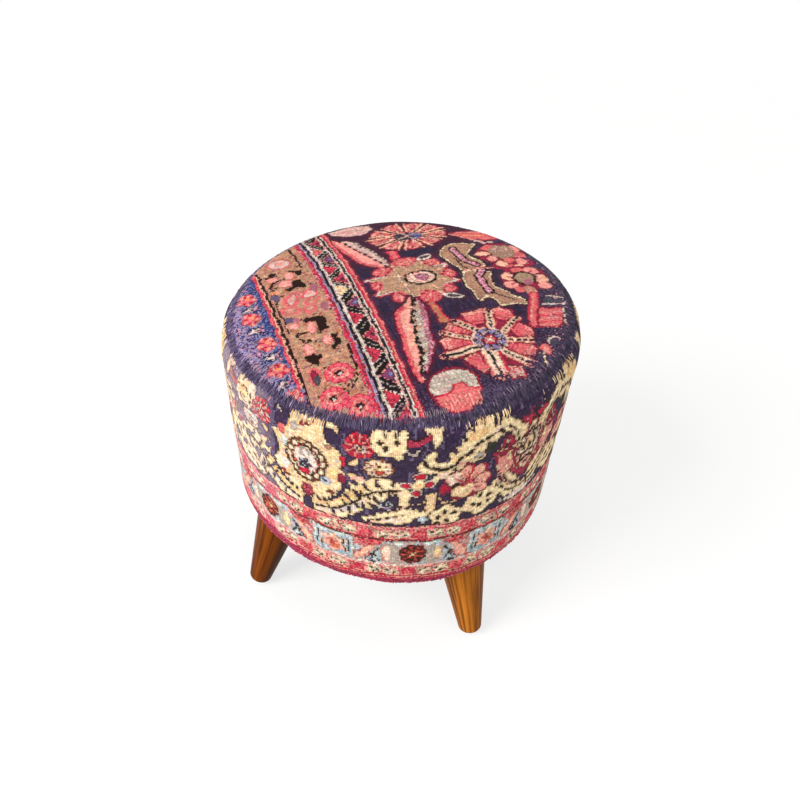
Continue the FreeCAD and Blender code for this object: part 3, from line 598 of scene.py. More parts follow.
def sideField(loom):
    x = loom.x
    leftX, rightX = strip["axes"]
    rightY = 36
    loom.speckle("haze", 0.13, np.ones(len(x), bool), 5)
    # large palmette
    loom.patch("ivory", [(-107, -22), (-95, -27), (-85, -22), (-72, -24), (-66, -14), (-67, -4), (-60, 2),
        (-52, 8), (-48, 18), (-50, 34), (-45, 40), (-50, 50), (-48, 62), (-52, 70), (-58, 78), (-68, 82),
        (-78, 89), (-92, 86), (-104, 79), (-115, 82), (-125, 72), (-130, 58), (-121, 44), (-123, 28),
        (-130, 12), (-120, 4), (-112, 0), (-108, -8)])
    heart = loom.near(-88, 30, 40, 56)
    for dye, share in (("gold", 0.35), ("pale", 0.2), ("sand", 0.12)):
        loom.speckle(dye, share, heart & loom.holds("ivory"))
    each(loom.oval, ("sand", -60, 14, 6, 10), ("gold", -58, 44, 7, 8), ("sand", -64, 70, 8, 7),
        ("frost", -113, 22, 4, 8), ("pale", -116, 58, 6, 9), ("sand", -80, -8, 8, 6),
        ("stone", -100, -8, 5, 6), ("stone", -66, 40, 3, 7), ("tan", -62, 6, 4, 4))
    each(loom.lobed, ("bronze", leftX, 37, 25, 14, 0.1, 0, 1.3), ("cream", leftX, 37, 22, 14, 0.1, 0, 1.3))
    loom.spokes("bronze", leftX, 37, 19, 25, 14, 2, 13, 1.3)
    each(loom.lobed, ("umber", leftX, 37.5, 17.6, 12, 0.1, 8, 1.4),
        ("shell", leftX, 37.5, 15.2, 12, 0.1, 8, 1.4))
    loom.fleck("brick", 0.3, leftX, 37, 17, 24)
    each(loom.oval, ("pale", leftX, 38, 11.6, 19), ("stone", -89, 26, 6, 8), ("pale", -87, 27, 3, 6))
    loom.lobed("ink", -90, 44, 9, 5, 0.45)
    loom.fleck("mist", 0.4, -90, 43, 6)
    each(loom.oval, ("ruby", -90, 55, 6, 4.5), ("bronze", -90, 8, 6, 4.5), ("gold", -90, 9, 3, 2.4))
    loom.stroke("brick", 4, [(-93, -14), (-87, -16), (-82, -19)], 5, 0.6)
    loom.oval("bronze", -85, -14, 2.4, 2)
    loom.lobed("mist", -67, 59, 6.4, 5, 0.3)
    loom.oval("haze", -67, 59, 2.4)
    each(loom.oval, ("ruby", -48, 22, 3, 7), ("wine", -49, 48, 4, 7), ("rust", -60, 76, 6, 4),
        ("coral", -91, 85, 9, 6), ("wine", -118, 75, 5, 6), ("ink", -92, 104, 6, 10))
    # bits at its left
    loom.oval("coral", -116, 3, 5, 7)
    loom.stroke("pale", 2.6, [(-124, -20), (-117, -15)], 5, 0.6)
    loom.oval("ink", -62, -9, 5.5, 9)
    loom.patch("ivory", [(-66, -24), (-55, -22), (-53, -12), (-58, -18), (-66, -20)])
    # crimson rosette
    loom.lobed("ruby", -31, -3, 16.4, 9, 0.2, 10)
    loom.spokes("pink", -31, -3, 6, 14.5, 9, 1.9, 30)
    loom.petals("red", -31, -3, 8, 14.4, 9, 6, 10)
    loom.spokes("wine", -31, -3, 7, 12, 9, 1.7, 10)
    each(loom.oval, ("pale", -30, -1, 5.6), ("umber", -30, -1, 3.4), ("gold", -30, -1, 1.7))
    # dotted cream flowers
    loom.patch("ivory", [(-19, -22), (14, -23), (13, -12), (15, -4), (11, 2), (12, 11), (6, 12), (2, 7),
        (-6, 5), (-14, 4), (-18, -3), (-20, -8)])
    each(loom.stroke, ("ink", 2.6, [(-8, -23), (-6, -16)]), ("ink", 2.6, [(6, -23), (3, -17)]))
    loom.oval("sand", 4, 2, 5, 4)
    each(loom.lobed, ("ivory", 60, 101, 18.6, 5, 0.2, -90), ("ivory", 99, 88, 22, 5, 0.18, 20))
    for spots in ([(5, -11), (-11, -10), (-6, -4)], [(58, 94), (52, 101), (69, 98), (52, 109), (62, 108)],
            [(98, 80), (108, 84), (91, 91), (98, 95), (108, 94)]):
        for k, (sx, sy) in enumerate(spots):
            loom.oval("umber", sx, sy, 3.6 - 0.3 * k, 2.3 + 0.2 * k, 50 * k + sx)
    loom.oval("sand", 60, 100, 3)
    # cream and orange rosette
    each(loom.lobed, ("bronze", -12, 24, 15.6, 9, 0.14), ("shell", -12, 24, 14, 9, 0.16, 10))
    loom.spokes("brick", -12, 24, 5, 12, 9, 2, 10)
    loom.fleck("ivory", 0.35, -12, 24, 13)
    each(loom.oval, ("sand", -11, 22, 5), ("bronze", -11, 22, 2), ("brick", -11, 31, 5, 4),
        ("blush", -33, 43, 7, 4.6, -16), ("sand", -38, 40, 4, 3), ("sand", -36, 20, 4, 6, 20))
    # toothed leaf rising to the right
    loom.patch("ivory", [(25, 23), (29, 14), (33, 6), (38, 3), (44, 5), (42, 15), (48, 18), (55, 20),
        (57, 14), (56, 6), (66, 6), (67, -1), (68, -8), (75, -11), (80, -16), (88, -21), (97, -19),
        (100, -12), (112, -9), (120, -15), (128, -8), (124, 3), (112, 3), (100, 5), (95, 11), (92, 17),
        (98, 23), (88, 26), (78, 22), (73, 27), (66, 32), (58, 39), (47, 41), (45, 31), (36, 33), (30, 30)])
    edge = [(46, 40), (58, 38), (66, 31), (74, 26), (82, 21), (92, 15), (98, 8), (112, 2)]
    each(loom.leafy, ("ivory", 8, edge, 8, 7),
        ("ivory", 8, [(66, 2), (72, -8), (82, -15), (92, -20), (102, -14), (116, -12)], 8, 7))
    for cx, cy, bx, by in ((60, 1, 63, 8), (65, -11, 71, -5), (76, -21, 79, -13), (90, -25, 90, -17),
            (104, -21, 103, -12), (54, 43, 53, 36), (66, 37, 64, 30), (78, 29, 76, 23), (90, 23, 87, 17),
            (101, 13, 97, 7)):
        loom.stroke("ink", 3.2, [(cx, cy), (bx, by)])
    each(loom.oval, ("gold", 84, -8, 12, 6, -20), ("gold", 62, 18, 5, 4, -20),
        ("shell", 108, -4, 9, 3.4, 10), ("blush", 70, 24, 7, 3, -20), ("shell", 52, 36, 7, 4),
        ("stone", 88, 20, 6, 3), ("leaf", 100, 14, 6, 7))
    loom.stroke("umber", 3.3, [(31, 14), (34, 20), (42, 25), (56, 29), (63, 24), (67, 17), (77, 12),
        (85, 3), (96, -1), (108, -3), (116, 2)], 13, 0.86)
    loom.patch("ivory", [(30, -27), (50, -25), (48, -14), (44, -4), (41, -2), (38, -14), (31, -20)])
    each(loom.stroke, ("rouge", 6.4, [(16, -10), (26, -9), (36, -14)]),
        ("umber", 2, [(18, -13), (27, -13), (35, -17)]),
        ("pale", 2.4, [(15, -2), (17, 4), (23, 4), (25, -1)]),
        ("sand", 2.2, [(13, 82), (20, 76), (28, 79), (34, 74)], 8, 0.7),
        ("sand", 2.2, [(50, 70), (56, 78), (66, 80), (75, 76)], 9, 0.7))
    # second toothed leaf
    spine = [(-80, 104), (-62, 97), (-44, 86), (-30, 70), (-18, 58), (-6, 53), (8, 54)]
    each(loom.leafy, ("ivory", 33, spine, 13, 9.5),
        ("gold", 9, [(x - 4, y - 5) for x, y in spine[:5]], 3, 6),
        ("pale", 7, [(x + 6, y + 5) for x, y in spine[:4]], 3, 5))
    loom.patch("ivory", [(2, 50), (12, 50), (22, 58), (22, 70), (17, 80), (9, 78), (11, 66), (6, 60)])
    loom.stroke("umber", 3.1, [(-78, 104), (-62, 100), (-48, 92), (-36, 80), (-28, 70), (-18, 62), (-4, 57),
        (10, 57)])
    for (x0, y0), (x1, y1) in zip(spine[1:], spine[2:]):
        each(loom.stroke, ("umber", 2, [(x0 - 1, y0 + 2), (x0 - 5, y0 - 4)]),
            ("umber", 2, [((x0 + x1) / 2, (y0 + y1) / 2 + 3), ((x0 + x1) / 2 + 4, (y0 + y1) / 2 + 9)]))
    each(loom.stroke, ("umber", 2.4, [(-37, 81), (-30, 87)]), ("umber", 2.4, [(-28, 70), (-29, 62)]),
        ("umber", 2.2, [(-52, 94), (-54, 86)]))
    loom.oval("sand", -60, 90, 8, 4, -30)
    for cx, cy, bx, by in ((-14, 43, -12, 51), (-26, 51, -22, 59), (-36, 61, -31, 68), (-45, 72, -40, 79),
            (0, 67, -2, 61), (-14, 75, -16, 68), (-26, 87, -28, 79), (-40, 99, -42, 92),
            (-58, 109, -58, 102), (4, 44, 2, 49)):
        loom.stroke("ink", 3.2, [(cx, cy), (bx, by)])
    loom.leafy("ink", 5, [(-45, 56), (-50, 74), (-60, 84), (-78, 93)], 5, 7)
    loom.oval("ink", leftX, 104, 6.4, 13)
    loom.lobed("wine", leftX, 84, 10, 5, 0.3, 90)
    loom.fleck("coral", 0.45, leftX, 83, 7)
    # small pale bloom on the ground between the leaves
    each(loom.stroke, ("mist", 2, [(-8, 74), (-9, 88)], 5, 0.6), ("mist", 2, [(-3, 76), (1, 72), (4, 78)]))
    loom.oval("lilac", -2, 84, 3.4, 2.6)
    loom.fleck("pale", 0.3, -3, 82, 7)
    loom.patch("ivory", [(-28, 101), (-14, 97), (0, 92), (8, 86), (14, 83), (22, 86), (34, 90), (43, 92),
        (38, 98), (28, 100), (22, 107), (10, 109), (-4, 108), (-24, 108)])
    loom.leafy("ivory", 9, [(-26, 103), (-4, 97), (14, 89), (40, 93)], 7, 8)
    loom.oval("shell", 4, 103, 12, 4)
    loom.stroke("umber", 2.2, [(-22, 105), (-4, 100), (14, 95)], 9, 0.7)
    loom.lobed("mist", 36, 103, 6, 4, 0.4)
    # red flower of four petals
    for px, py in ((29, 36), (15, 48), (39, 48), (27, 59)):
        each(loom.oval, ("pale", px, py, 6.6, 6), ("ruby", px, py, 4.8, 4.4))
    loom.lobed("ivory", 28, 47.5, 7.4, 4, 0.2)
    loom.oval("gold", 28, 47.5, 3)
    # fan palmette
    loom.lobed("wine", 79, 53, 27, 7, 0.25, -90)
    for dye, px, py, rx, ry, turn in (("shell", 66, 45, 10.4, 9.4, 40), ("peach", 78, 39, 6.4, 10, 0),
            ("peach", 89, 42, 7, 10, 30), ("blush", 96, 53, 9, 7, -20), ("blush", 93, 65, 9, 6.4, 20)):
        each(loom.oval, ("rouge", px, py, rx + 1.4, ry + 1.4, turn), (dye, px, py, rx, ry, turn))
        loom.stroke("coral", 2, [(px, py), (79, 58)])
        loom.fleck("pink", 0.25, px, py, 6)
    loom.stroke("ruby", 2.2, [(84, 34), (80, 48), (79, 58)])
    each(loom.oval, ("umber", 66, 55, 4, 5), ("sand", 74, 66, 12, 8, 20), ("ivory", 72, 65, 8, 5),
        ("sand", 82, 60, 5, 4), ("wine", 55, 58, 5.4, 9), ("ruby", 54, 57, 3.4, 6))
    loom.patch("sand", [(36, 62), (47, 62), (48, 76), (46, 92), (39, 92), (37, 76)])
    # crimson and cream palmette where the strip turns away
    # its top petals start a little below the rim, so the dark ground above them stands in for the shade under
    # the rim: painted shade
    for px, py, rx, ry, turn in ((144, 2, 12, 5, 10), (166, 6, 14, 6, 20), (178, 22, 8, 9, 0),
            (122, 16, 7, 6, -40)):
        each(loom.oval, ("wine", px, py, rx + 2, ry + 2, turn), ("rouge", px, py, rx, ry, turn))
        loom.stroke("pink", 2, [(px - rx * 0.6, py - 1), (px + rx * 0.5, py + 2)], 7, 0.6)
    crimson = [(106, 24), (114, 20), (124, 28), (135, 38), (134, 54), (126, 66), (117, 60), (111, 44)]
    each(loom.patch, ("rouge", crimson, "wine", 3), ("rosy", [(112, 30), (120, 30), (126, 44), (118, 50)]))
    loom.stroke("ivory", 3.4, [(108, 24), (120, 26), (130, 34)], 9, 0.7)
    loom.patch("ivory", [(119, 42), (126, 44), (132, 58), (145, 73), (143, 84), (131, 76), (123, 58)])
    loom.fleck("blush", 0.3, 128, 64, 14, 22.4)
    flower = ((0, 34, 13), (48, 30, 12), (92, 33, 13), (140, 28, 10), (186, 32, 12), (232, 34, 13),
        (276, 27, 10), (318, 32, 12))
    for turn, far, wide in flower:
        a = math.radians(turn)
        px, py = rightX + 0.66 * far * math.cos(a), rightY + 0.76 * far * math.sin(a)
        each(loom.oval, ("wine", px, py, far * 0.42 + 2, wide * 0.8 + 2, turn),
            ("ivory", px, py, far * 0.42, wide * 0.8, turn),
            ("salmon", px - 3 * math.cos(a), py - 3 * math.sin(a), far * 0.2, wide * 0.3, turn))
        loom.stroke("ruby", 2.6, [(rightX + 14 * math.cos(a + 0.4), rightY + 15 * math.sin(a + 0.4)),
            (rightX + far * math.cos(a + 0.4), rightY + 1.1 * far * math.sin(a + 0.4))])
    loom.speckle("sand", 0.3, loom.holds("ivory") & loom.near(rightX, rightY, 36))
    bloom = loom.near(rightX, rightY, 44, 50.6)
    each(loom.speckle, ("wine", 0.17, bloom, 2), ("umber", 0.1, bloom & (x > 118), 2),
        ("shell", 0.12, bloom, 2))
    # a cream leaf and pink petals along its near side
    loom.leafy("ivory", 13, [(114, -9), (127, -1), (136, 12), (139, 26)], 6, 7)
    loom.stroke("umber", 2.2, [(118, -4), (130, 6), (136, 22)], 9, 0.7)
    loom.patch("salmon", [(112, 34), (123, 31), (133, 40), (133, 56), (123, 62), (114, 50)])
    loom.fleck("ivory", 0.3, 123, 46, 10, 14, 2)
    each(loom.stroke, ("wine", 3, [(107, 24), (117, 32), (128, 27), (136, 33)]),
        ("rouge", 3.4, [(130, 34), (137, 52), (150, 70), (164, 78)]))
    loom.patch("ivory", [(125, 61), (133, 58), (141, 70), (149, 84), (139, 84), (130, 74)])
    each(loom.lobed, ("umber", rightX, rightY, 19, 7, 0.22, 15, 1.2),
        ("shell", rightX, rightY, 16.6, 7, 0.26, 15, 1.2))
    loom.fleck("bronze", 0.35, rightX, rightY, 15, 18)
    each(loom.lobed, ("umber", 153, 36, 10, 5, 0.3, 40, 1.2), ("sand", 153, 35, 7.6, 5, 0.3, 40, 1.2))
    loom.oval("leaf", 153, 37, 3, 5)
    each(loom.stroke, ("rouge", 5, [(132, 56), (146, 72), (164, 80), (182, 80)]),
        ("wine", 2, [(130, 58), (144, 75), (164, 84), (182, 84)], 10, 0.7))
    each(loom.leafy, ("ivory", 12, [(112, 66), (122, 80), (134, 92), (152, 98), (176, 96)], 6, 7),
        ("pale", 8, [(128, 104), (146, 107), (168, 104)], 4, 6))
    loom.stroke("umber", 2.4, [(116, 72), (134, 92), (156, 98)], 9, 0.8)


def sideLeft(loom):
    # the strip's left flank has faded: a paler purple ground, pale and brown threads in the cream
    x, y = loom.x, loom.y
    flank = (x < -128) & (x > -262) & (y < strip["border"])
    for width, rib in ((17, [(-206, 58), (-190, 72), (-172, 86), (-148, 99)]),
            (15, [(-240, 34), (-222, 50), (-205, 66), (-192, 88)])):
        loom.leafy("ivory", width, rib, 6, 7)
        loom.stroke("umber", 2.2, rib, 11, 0.8)
    # its dotted flower is curled in brown
    loom.lobed("ivory", -173, -8, 17, 7, 0.15)
    loom.oval("gold", -176, -10, 9, 7)
    for curl in ([(-182, -12), (-176, -16), (-169, -12), (-171, -5), (-177, -6)],
            [(-166, -14), (-161, -7), (-165, 0)], [(-183, -3), (-177, 2), (-170, 1)]):
        loom.stroke("bronze", 2, curl, 9, 0.8)
    ground = flank & loom.holds("ink")
    light = flank & loom.holds("ivory")
    each(loom.speckle, ("haze", 0.85, ground, 4), ("lilac", 0.1, ground & (x < -140), 4))
    for dye, share in (("pale", 0.26), ("shell", 0.2), ("bronze", 0.03)):
        loom.speckle(dye, share, light & (x < -134), 2)
    each(loom.speckle, ("bronze", 0.05, flank & (x < -185) & (y > 20), 4),
        ("salmon", 0.04, flank & (x < -195), 4))
    each(loom.fleck, ("pale", 0.5, -165, 23, 15), ("mist", 0.25, -163, 21, 12),
        ("ruby", 0.3, -146, -1, 15, 15, 2), ("pale", 0.12, -146, -1, 15))
    for px, py, rx, ry, turn in ((-140, 46, 3.4, 9, 20), (-147, 66, 4, 8, 30), (-160, 76, 4, 7, 40),
            (-176, 58, 4, 7, 40), (-190, 84, 4, 8, 45), (-152, 92, 5, 3, 20), (-150, 30, 3, 7, 10)):
        loom.oval("haze", px, py, rx, ry, turn)
    fade = 0.2 * np.clip((-128 - x) / 30, 0, 1) * np.clip((x + 270) / 30, 0, 1) * (y < strip["border"])
    loom.colour += (dyes["pale"] - loom.colour) * fade[:, None]


def sideBorder(loom, b):
    flat = Loom(b, loom.y, "salmon")
    x, y = flat.x, flat.y
    for dye, low, high in (("umber", 111.4, 113.2), ("salmon", 113.2, 117.4), ("rosy", 117.4, 119),
            ("salmon", 119, 134), ("ruby", 134, 136.4), ("leaf", 136.8, 138.4), ("dusty", 138.4, 180),
            ("pale", 179.4, 182), ("salmon", 182, 200.2), ("ruby", 200.2, 202.4), ("pink", 202.4, 204.8),
            ("ruby", 204.8, 206.8), ("rosy", 206.8, 208.8), ("wine", 208.8, 210.4), ("fuchsia", 210.4, 270)):
        flat.band(dye, low, high, y)
    each(flat.speckle, ("cream", 0.3, (y > 113.2) & (y < 116)), ("rosy", 0.3, (y > 113.2) & (y < 117.4)))
    # the two narrow guards: red leaves and dotted cream blooms in turn, on a faded pink
    for row, shift in zip(strip["guards"], (5.0, -4.0)):
        inside = np.abs(y - row) < 8
        each(flat.speckle, ("cream", 0.2, inside), ("rosy", 0.18, inside), ("stone", 0.08, inside))
        for i in range(-5, 6):
            c = shift + i * 19.1
            if i % 3 == 0:
                flat.patch("red", [(c - 9, row + 7), (c - 4, row - 7), (c + 7, row - 6), (c + 9, row + 6)])
                each(flat.fleck, ("ruby", 0.25, c, row, 9, 7), ("coral", 0.38, c, row, 9, 7))
            else:
                flat.lobed("cream", c, row, 9, 5, 0.3, 40 * i, 0.8)
                each(flat.fleck, ("frost", 0.12, c, row, 8, 6), ("blush", 0.2, c, row, 9, 6))
                for dx, dy in ((-4, -1), (4, 2), (0, 4 * (-1) ** i)):
                    flat.oval("leaf" if dx < 0 else "umber", c + dx, row + dy, 1.8, 1.5)
                flat.stroke("rosy", 1.8, [(c + 9, row - 6), (c + 11, row + 5)])
    # main band: medallion, pale wedge, coral slant and a grey-blue panel, mirrored about each medallion
    mid = strip["band"]
    ground = (y > 138.4) & (y < 179.4)
    each(flat.speckle, ("stone", 0.35, ground, 4), ("mist", 0.3, ground, 4), ("pink", 0.18, ground, 3),
        ("coral", 0.3, ground & (np.abs(np.abs(x) - 56) < 12), 2))
    for way in (-1, 1):
        each(flat.patch, ("frost", [(way * 10, 139), (way * 24, 139), (way * 20, 148), (way * 10, 144)]),
            ("stone", [(way * 15, 148), (way * 24, 143), (way * 30, 176), (way * 14, 178)]))
        flat.oval("sand" if way > 0 else "shell", way * 28, mid, 4.6, 13)
        flat.patch("coral", [(way * 32, 139), (way * 60, 139), (way * 58, 148), (way * 46, 150),
            (way * 36, 146)])
        flat.fleck("ruby", 0.3, way * 48, 144, 14, 6)
        each(flat.patch, ("mist", [(way * 34, 178), (way * 36, 154), (way * 52, 178)]),
            ("peach", [(way * 42, 150), (way * 50, 148), (way * 66, 172), (way * 60, 178), (way * 54, 172)]))
        each(flat.stroke, ("coral", 2.6, [(way * 50, 148), (way * 66, 172)], 12, 0.7),
            ("umber", 1.8, [(way * 36, 152), (way * 45, 164), (way * 52, 177)]))
        flat.oval("frost", way * 41, 170, 4.4, 5)
        flat.stroke("leaf", 1.9, [(way * 36, 176), (way * 42, 162), (way * 46, 175)])
        flat.oval("umber", way * 45, 178, 4.4, 2.2)
    for way in (-1, 1):
        middle = way * around / strip["repeats"] / 2
        panel = [(way * 67, 141), (way * 92, 140), (way * 92, 178), (way * 69, 178), (way * 66, 160)]
        flat.patch("mist", panel)
        flat.speckle("sea", 0.3, flat.inside(panel))
        flat.patch("frost", [(way * 66, 139), (way * 92, 139), (way * 92, 142.6), (way * 72, 143)])
        each(flat.stroke, ("frost", 3, [(way * 67, 142), (way * 67, 174)]),
            ("leaf", 1.8, [(way * 71, 146), (way * 71, 172)], 14, 0.8),
            ("pale", 2.4, [(way * 74, 146), (way * 74, 172)]),
            ("leaf", 1.8, [(way * 77, 150), (way * 76, 170)], 12, 0.7))
        flat.lobed("peach", middle, mid - 1, 14, 6, 0.35, 30, 1.15)
        flat.fleck("cream", 0.4, middle, mid - 8, 8)
        flat.lobed("salmon", middle, mid + 3, 10, 6, 0.35, 0, 1.2)
        flat.fleck("ember", 0.45, middle, mid + 2, 8, 8, 2)
        flat.oval("brick", middle, mid + 2, 3, 4)
    heart = flat.near(0, mid, 13.4)
    flat.lobed("umber", 0, mid, 16.6, 9, 0.1, 22)
    each(flat.petals, ("oxide", 0, mid, 0, 14.8, 9, 15, 22), ("brick", 0, mid, 6.5, 12.6, 9, 8, 22))
    each(flat.speckle, ("brown", 0.2, heart), ("ember", 0.4, heart & (np.abs(loom.x + 150) < 40)))
    flat.petals("brick", 0, mid, 0, 6.4, 4, 24, 45)
    flat.lobed("sand", 0, mid, 3.8, 4, 0.6, 45)
    # selvedge: rows of magenta wool
    hem = y > np.interp(loom.x, [-230, -165, -105, -60], [210.4, 202, 206, 210.4])
    flat.paint(hem, "fuchsia")
    each(flat.speckle, ("wine", np.interp(np.abs(loom.x - 40), [90, 150], [0.6, 0.35]), hem),
        ("rosy", 0.06, hem))
    # the guards have faded on the left flank too
    paling = 0.3 * np.clip((-105 - loom.x) / 40, 0, 1) * np.clip((loom.x + 290) / 40, 0, 1)
    paling = paling * (y < 200) * (np.abs(y - mid) > 22)
    flat.colour += (dyes["rose"] - flat.colour) * paling[:, None]
    lower = loom.y > strip["border"]
    loom.colour[lower] = flat.colour[lower]


def sideColours(a, t):
    sag = along(a, sagAt, sagBy)
    t = t - sag * np.clip((t - strip["sagFrom"]) / strip["sagOver"], 0, 1.3)
    # the field repeats by turning over about the axes of its two palmettes
    axis, (ownFrom, ownTo) = strip["axes"][0], strip["own"]
    turn = (a - axis) % period
    second = turn > period / 2
    over = second & ((turn < ownFrom) | (t > ownTo))
    fold = np.where(over, period - turn, np.where(second, turn - period, turn)) + axis
    loom = Loom(fold, t, "ink")
    sideField(loom)
    own = Loom(a, t, "ink")
    own.colour = loom.colour
    sideLeft(own)
    repeat = around / strip["repeats"]
    sideBorder(own, (a - strip["first"] + repeat / 2) % repeat - repeat / 2)
    # the stitched edge
    sewn = np.clip((strip["sewnTo"] - t) / strip["sewnOver"], 0, 1)[:, None] * strip["sewn"]
    own.colour = own.colour * (1 - sewn) + dyes["thread"] * sewn
    return own.colour


weave = {"dark": 0.1, "notBrown": 0.014, "crisp": 0.28, "least": 0.3, "edge": 1.6, "hue": 0.06, "row": 0.06,
         "patch": 0.07, "block": 3}


def wool(colour, cols, rows, settings):
    # the weaver's outlines stand crisp, knots where the colour changes are darkened, each knot and row takes
    # the dye differently
    grid = colour.reshape(rows, cols, 3)
    wide = np.pad(grid, ((1, 1), (1, 1), (0, 0)), mode="edge")
    near = (wide[:-2, 1:-1] + wide[2:, 1:-1] + wide[1:-1, :-2] + wide[1:-1, 2:]) / 4
    edge = np.abs(grid - near).sum(2, keepdims=True)
    steps = range(-2, 3)
    glow = sum(np.roll(grid, (i, j), (0, 1)) for i in steps for j in steps) / len(steps) ** 2
    # only the dark grounds take up a glow from what lies round them, brown outlines don't
    dark = np.clip(1 - grid.max(2, keepdims=True) / weave["dark"], 0, 1) * (grid[..., 2:] > weave["notBrown"])
    grid = grid + dark * np.maximum(glow - grid, 0) * settings["halo"]
    crisp = np.maximum((1 + weave["crisp"]) * grid - weave["crisp"] * near, weave["least"] * grid)
    grid = crisp * (1 - settings["outline"] * np.clip(edge * weave["edge"], 0, 1))
    single = np.exp(settings["uneven"] * rng.standard_normal((rows, cols, 1)))
    hue = np.exp(weave["hue"] * rng.standard_normal((rows, cols, 3)))
    row = np.exp(weave["row"] * rng.standard_normal((rows, 1, 1)))
    block = weave["block"]
    patchy = rng.standard_normal((rows // block + 2, cols // block + 2, 1))
    patchy = np.exp(weave["patch"] * patchy.repeat(block, 0).repeat(block, 1)[:rows, :cols])
    return np.clip(grid * single * hue * row * patchy, 0, 1)


class Wire:
    def __init__(self, tree, socket=None):
        self.tree, self.socket = tree, socket

    def node(self, kind, feeds=None, out=0, **settings):
        made = self.tree.nodes.new(kind)
        for key, value in settings.items():
            setattr(made, key, value)
        for key, value in (feeds or {}).items():
            if isinstance(value, Wire):
                self.tree.links.new(value.socket, made.inputs[key])
            else:
                made.inputs[key].default_value = value
        return Wire(self.tree, made.outputs[out])

    def maths(self, kind, a, b=0.0):
        return self.node("ShaderNodeMath", {0: a, 1: b}, operation=kind)

    def __add__(self, other):
        return self.maths("ADD", self, other)

    def __radd__(self, other):
        return self.maths("ADD", other, self)

    def __sub__(self, other):
        return self.maths("SUBTRACT", self, other)

    def __rsub__(self, other):
        return self.maths("SUBTRACT", other, self)

    def __mul__(self, other):
        return self.maths("MULTIPLY", self, other)

    def __rmul__(self, other):
        return self.maths("MULTIPLY", other, self)

    def __truediv__(self, other):
        return self.maths("DIVIDE", self, other)

    def __rtruediv__(self, other):
        return self.maths("DIVIDE", other, self)

    def mix(self, a, b):
        return self.node("ShaderNodeMix", {0: self, 6: a, 7: b}, 2, data_type="RGBA")


def rgba(c):
    return (float(c[0]), float(c[1]), float(c[2]), 1.0)


def finish(name, colour=None, **plain):
    made = bpy.data.materials.new(name)
    made.use_nodes = True
    shader = made.node_tree.nodes["Principled BSDF"]
    if colour is not None:
        shader.inputs["Base Color"].default_value = rgba(colour)
    for key, value in plain.items():
        shader.inputs[key.replace("_", " ")].default_value = value
    return made, Wire(made.node_tree), shader


def join(wire, shader, key):
    wire.tree.links.new(wire.socket, shader.inputs[key])


def spotNoise(w, spot, scale, detail, rough):
    feeds = {"Vector": spot, "Scale": scale, "Detail": detail, "Roughness": rough}
    return w.node("ShaderNodeTexNoise", feeds)


def shadeColour(w, shader, colour, shade):
    grey = w.node("ShaderNodeCombineColor", {0: shade, 1: shade, 2: shade})
    feeds = {0: 1.0, 6: colour, 7: grey}
    join(w.node("ShaderNodeMix", feeds, 2, data_type="RGBA", blend_type="MULTIPLY"), shader, "Base Color")


def raised(w, shader, strength, distance, height):
    bump = w.node("ShaderNodeBump", {"Strength": strength, "Distance": distance, "Height": height})
    join(bump, shader, "Normal")


# a rug's face fills the lower part of its flat map, its back lies shrunk above it
flatMap = {"face": 0.66, "back": 0.3, "backFrom": 0.69}
# each noise has a scale, a detail and a roughness; "by" says how much it changes the shade
pile = {"fibre": (1500.0, 2.0, 0.6), "fade": (9.0, 3.0, 0.55), "least": 0.46, "byFibre": 0.5, "byGrooveShade": 0.4,
        "byFade": 0.12, "high": 0.0012, "humpHigh": 0.7, "fibreHigh": 0.6}
twist = {"fibre": (1800.0, 2.0, 0.6), "least": 0.7, "byFibre": 0.6, "relief": 0.5, "high": 0.0006}


def rugFinish(name, settings):
    made, w, shader = finish(name, Roughness=0.95, Specular_IOR_Level=0.04, Sheen_Weight=settings["sheen"],
                             Sheen_Roughness=0.6)
    spot = w.node("ShaderNodeTexCoord", out="Object")
    knot = w.node("ShaderNodeAttribute", out="Color", attribute_name="knot")
    flat = w.node("ShaderNodeUVMap", uv_map="OFBake")
    cols, rows = settings["knots"]
    across = w.node("ShaderNodeSeparateXYZ", {0: flat}, "X") * (2 * math.pi * cols)
    down = w.node("ShaderNodeSeparateXYZ", {0: flat}, "Y") * (2 * math.pi * rows / flatMap["face"])
    humps = (2.0 - w.maths("COSINE", across) - w.maths("COSINE", down)) * 0.25
    fibre = spotNoise(w, spot, *pile["fibre"])
    fade = spotNoise(w, spot, *pile["fade"])
    # the colour is darker where the humps fall to the grooves between knots: painted shade; the humps also
    # feed the bump
    shade = pile["least"] + fibre * pile["byFibre"] + humps * pile["byGrooveShade"] + fade * pile["byFade"]
    shadeColour(w, shader, knot, shade)
    height = humps * pile["humpHigh"] + fibre * pile["fibreHigh"]
    raised(w, shader, settings["relief"], pile["high"], height)
    return made


def yarnFinish(name):
    made, w, shader = finish(name, Roughness=0.95, Specular_IOR_Level=0.12, Sheen_Weight=0.2)
    spot = w.node("ShaderNodeTexCoord", out="Object")
    dyed = w.node("ShaderNodeAttribute", out="Color", attribute_name="knot")
    fibre = spotNoise(w, spot, *twist["fibre"])
    shadeColour(w, shader, dyed, twist["least"] + fibre * twist["byFibre"])
    raised(w, shader, twist["relief"], twist["high"], fibre)
    return made


def link(name, mesh, coat):
    piece = bpy.data.objects.new(name, mesh)
    bpy.context.scene.collection.objects.link(piece)
    mesh.materials.append(coat)
    return piece


def toMesh(bm, name, xyz=None, smooth=True):
    mesh = bpy.data.meshes.new(name)
    bm.to_mesh(mesh)
    bm.free()
    if xyz is not None:
        mesh.vertices.foreach_set("co", (np.asarray(xyz) * mm).astype(np.float32).ravel())
    mesh.polygons.foreach_set("use_smooth", np.full(len(mesh.polygons), smooth))
    mesh.update()
    return mesh


def flatPoints(bm):
    return np.array([v.co[:] for v in bm.verts])


def listed(items, key):
    got = np.zeros(len(items), np.int32)
    items.foreach_get(key, got)
    return got


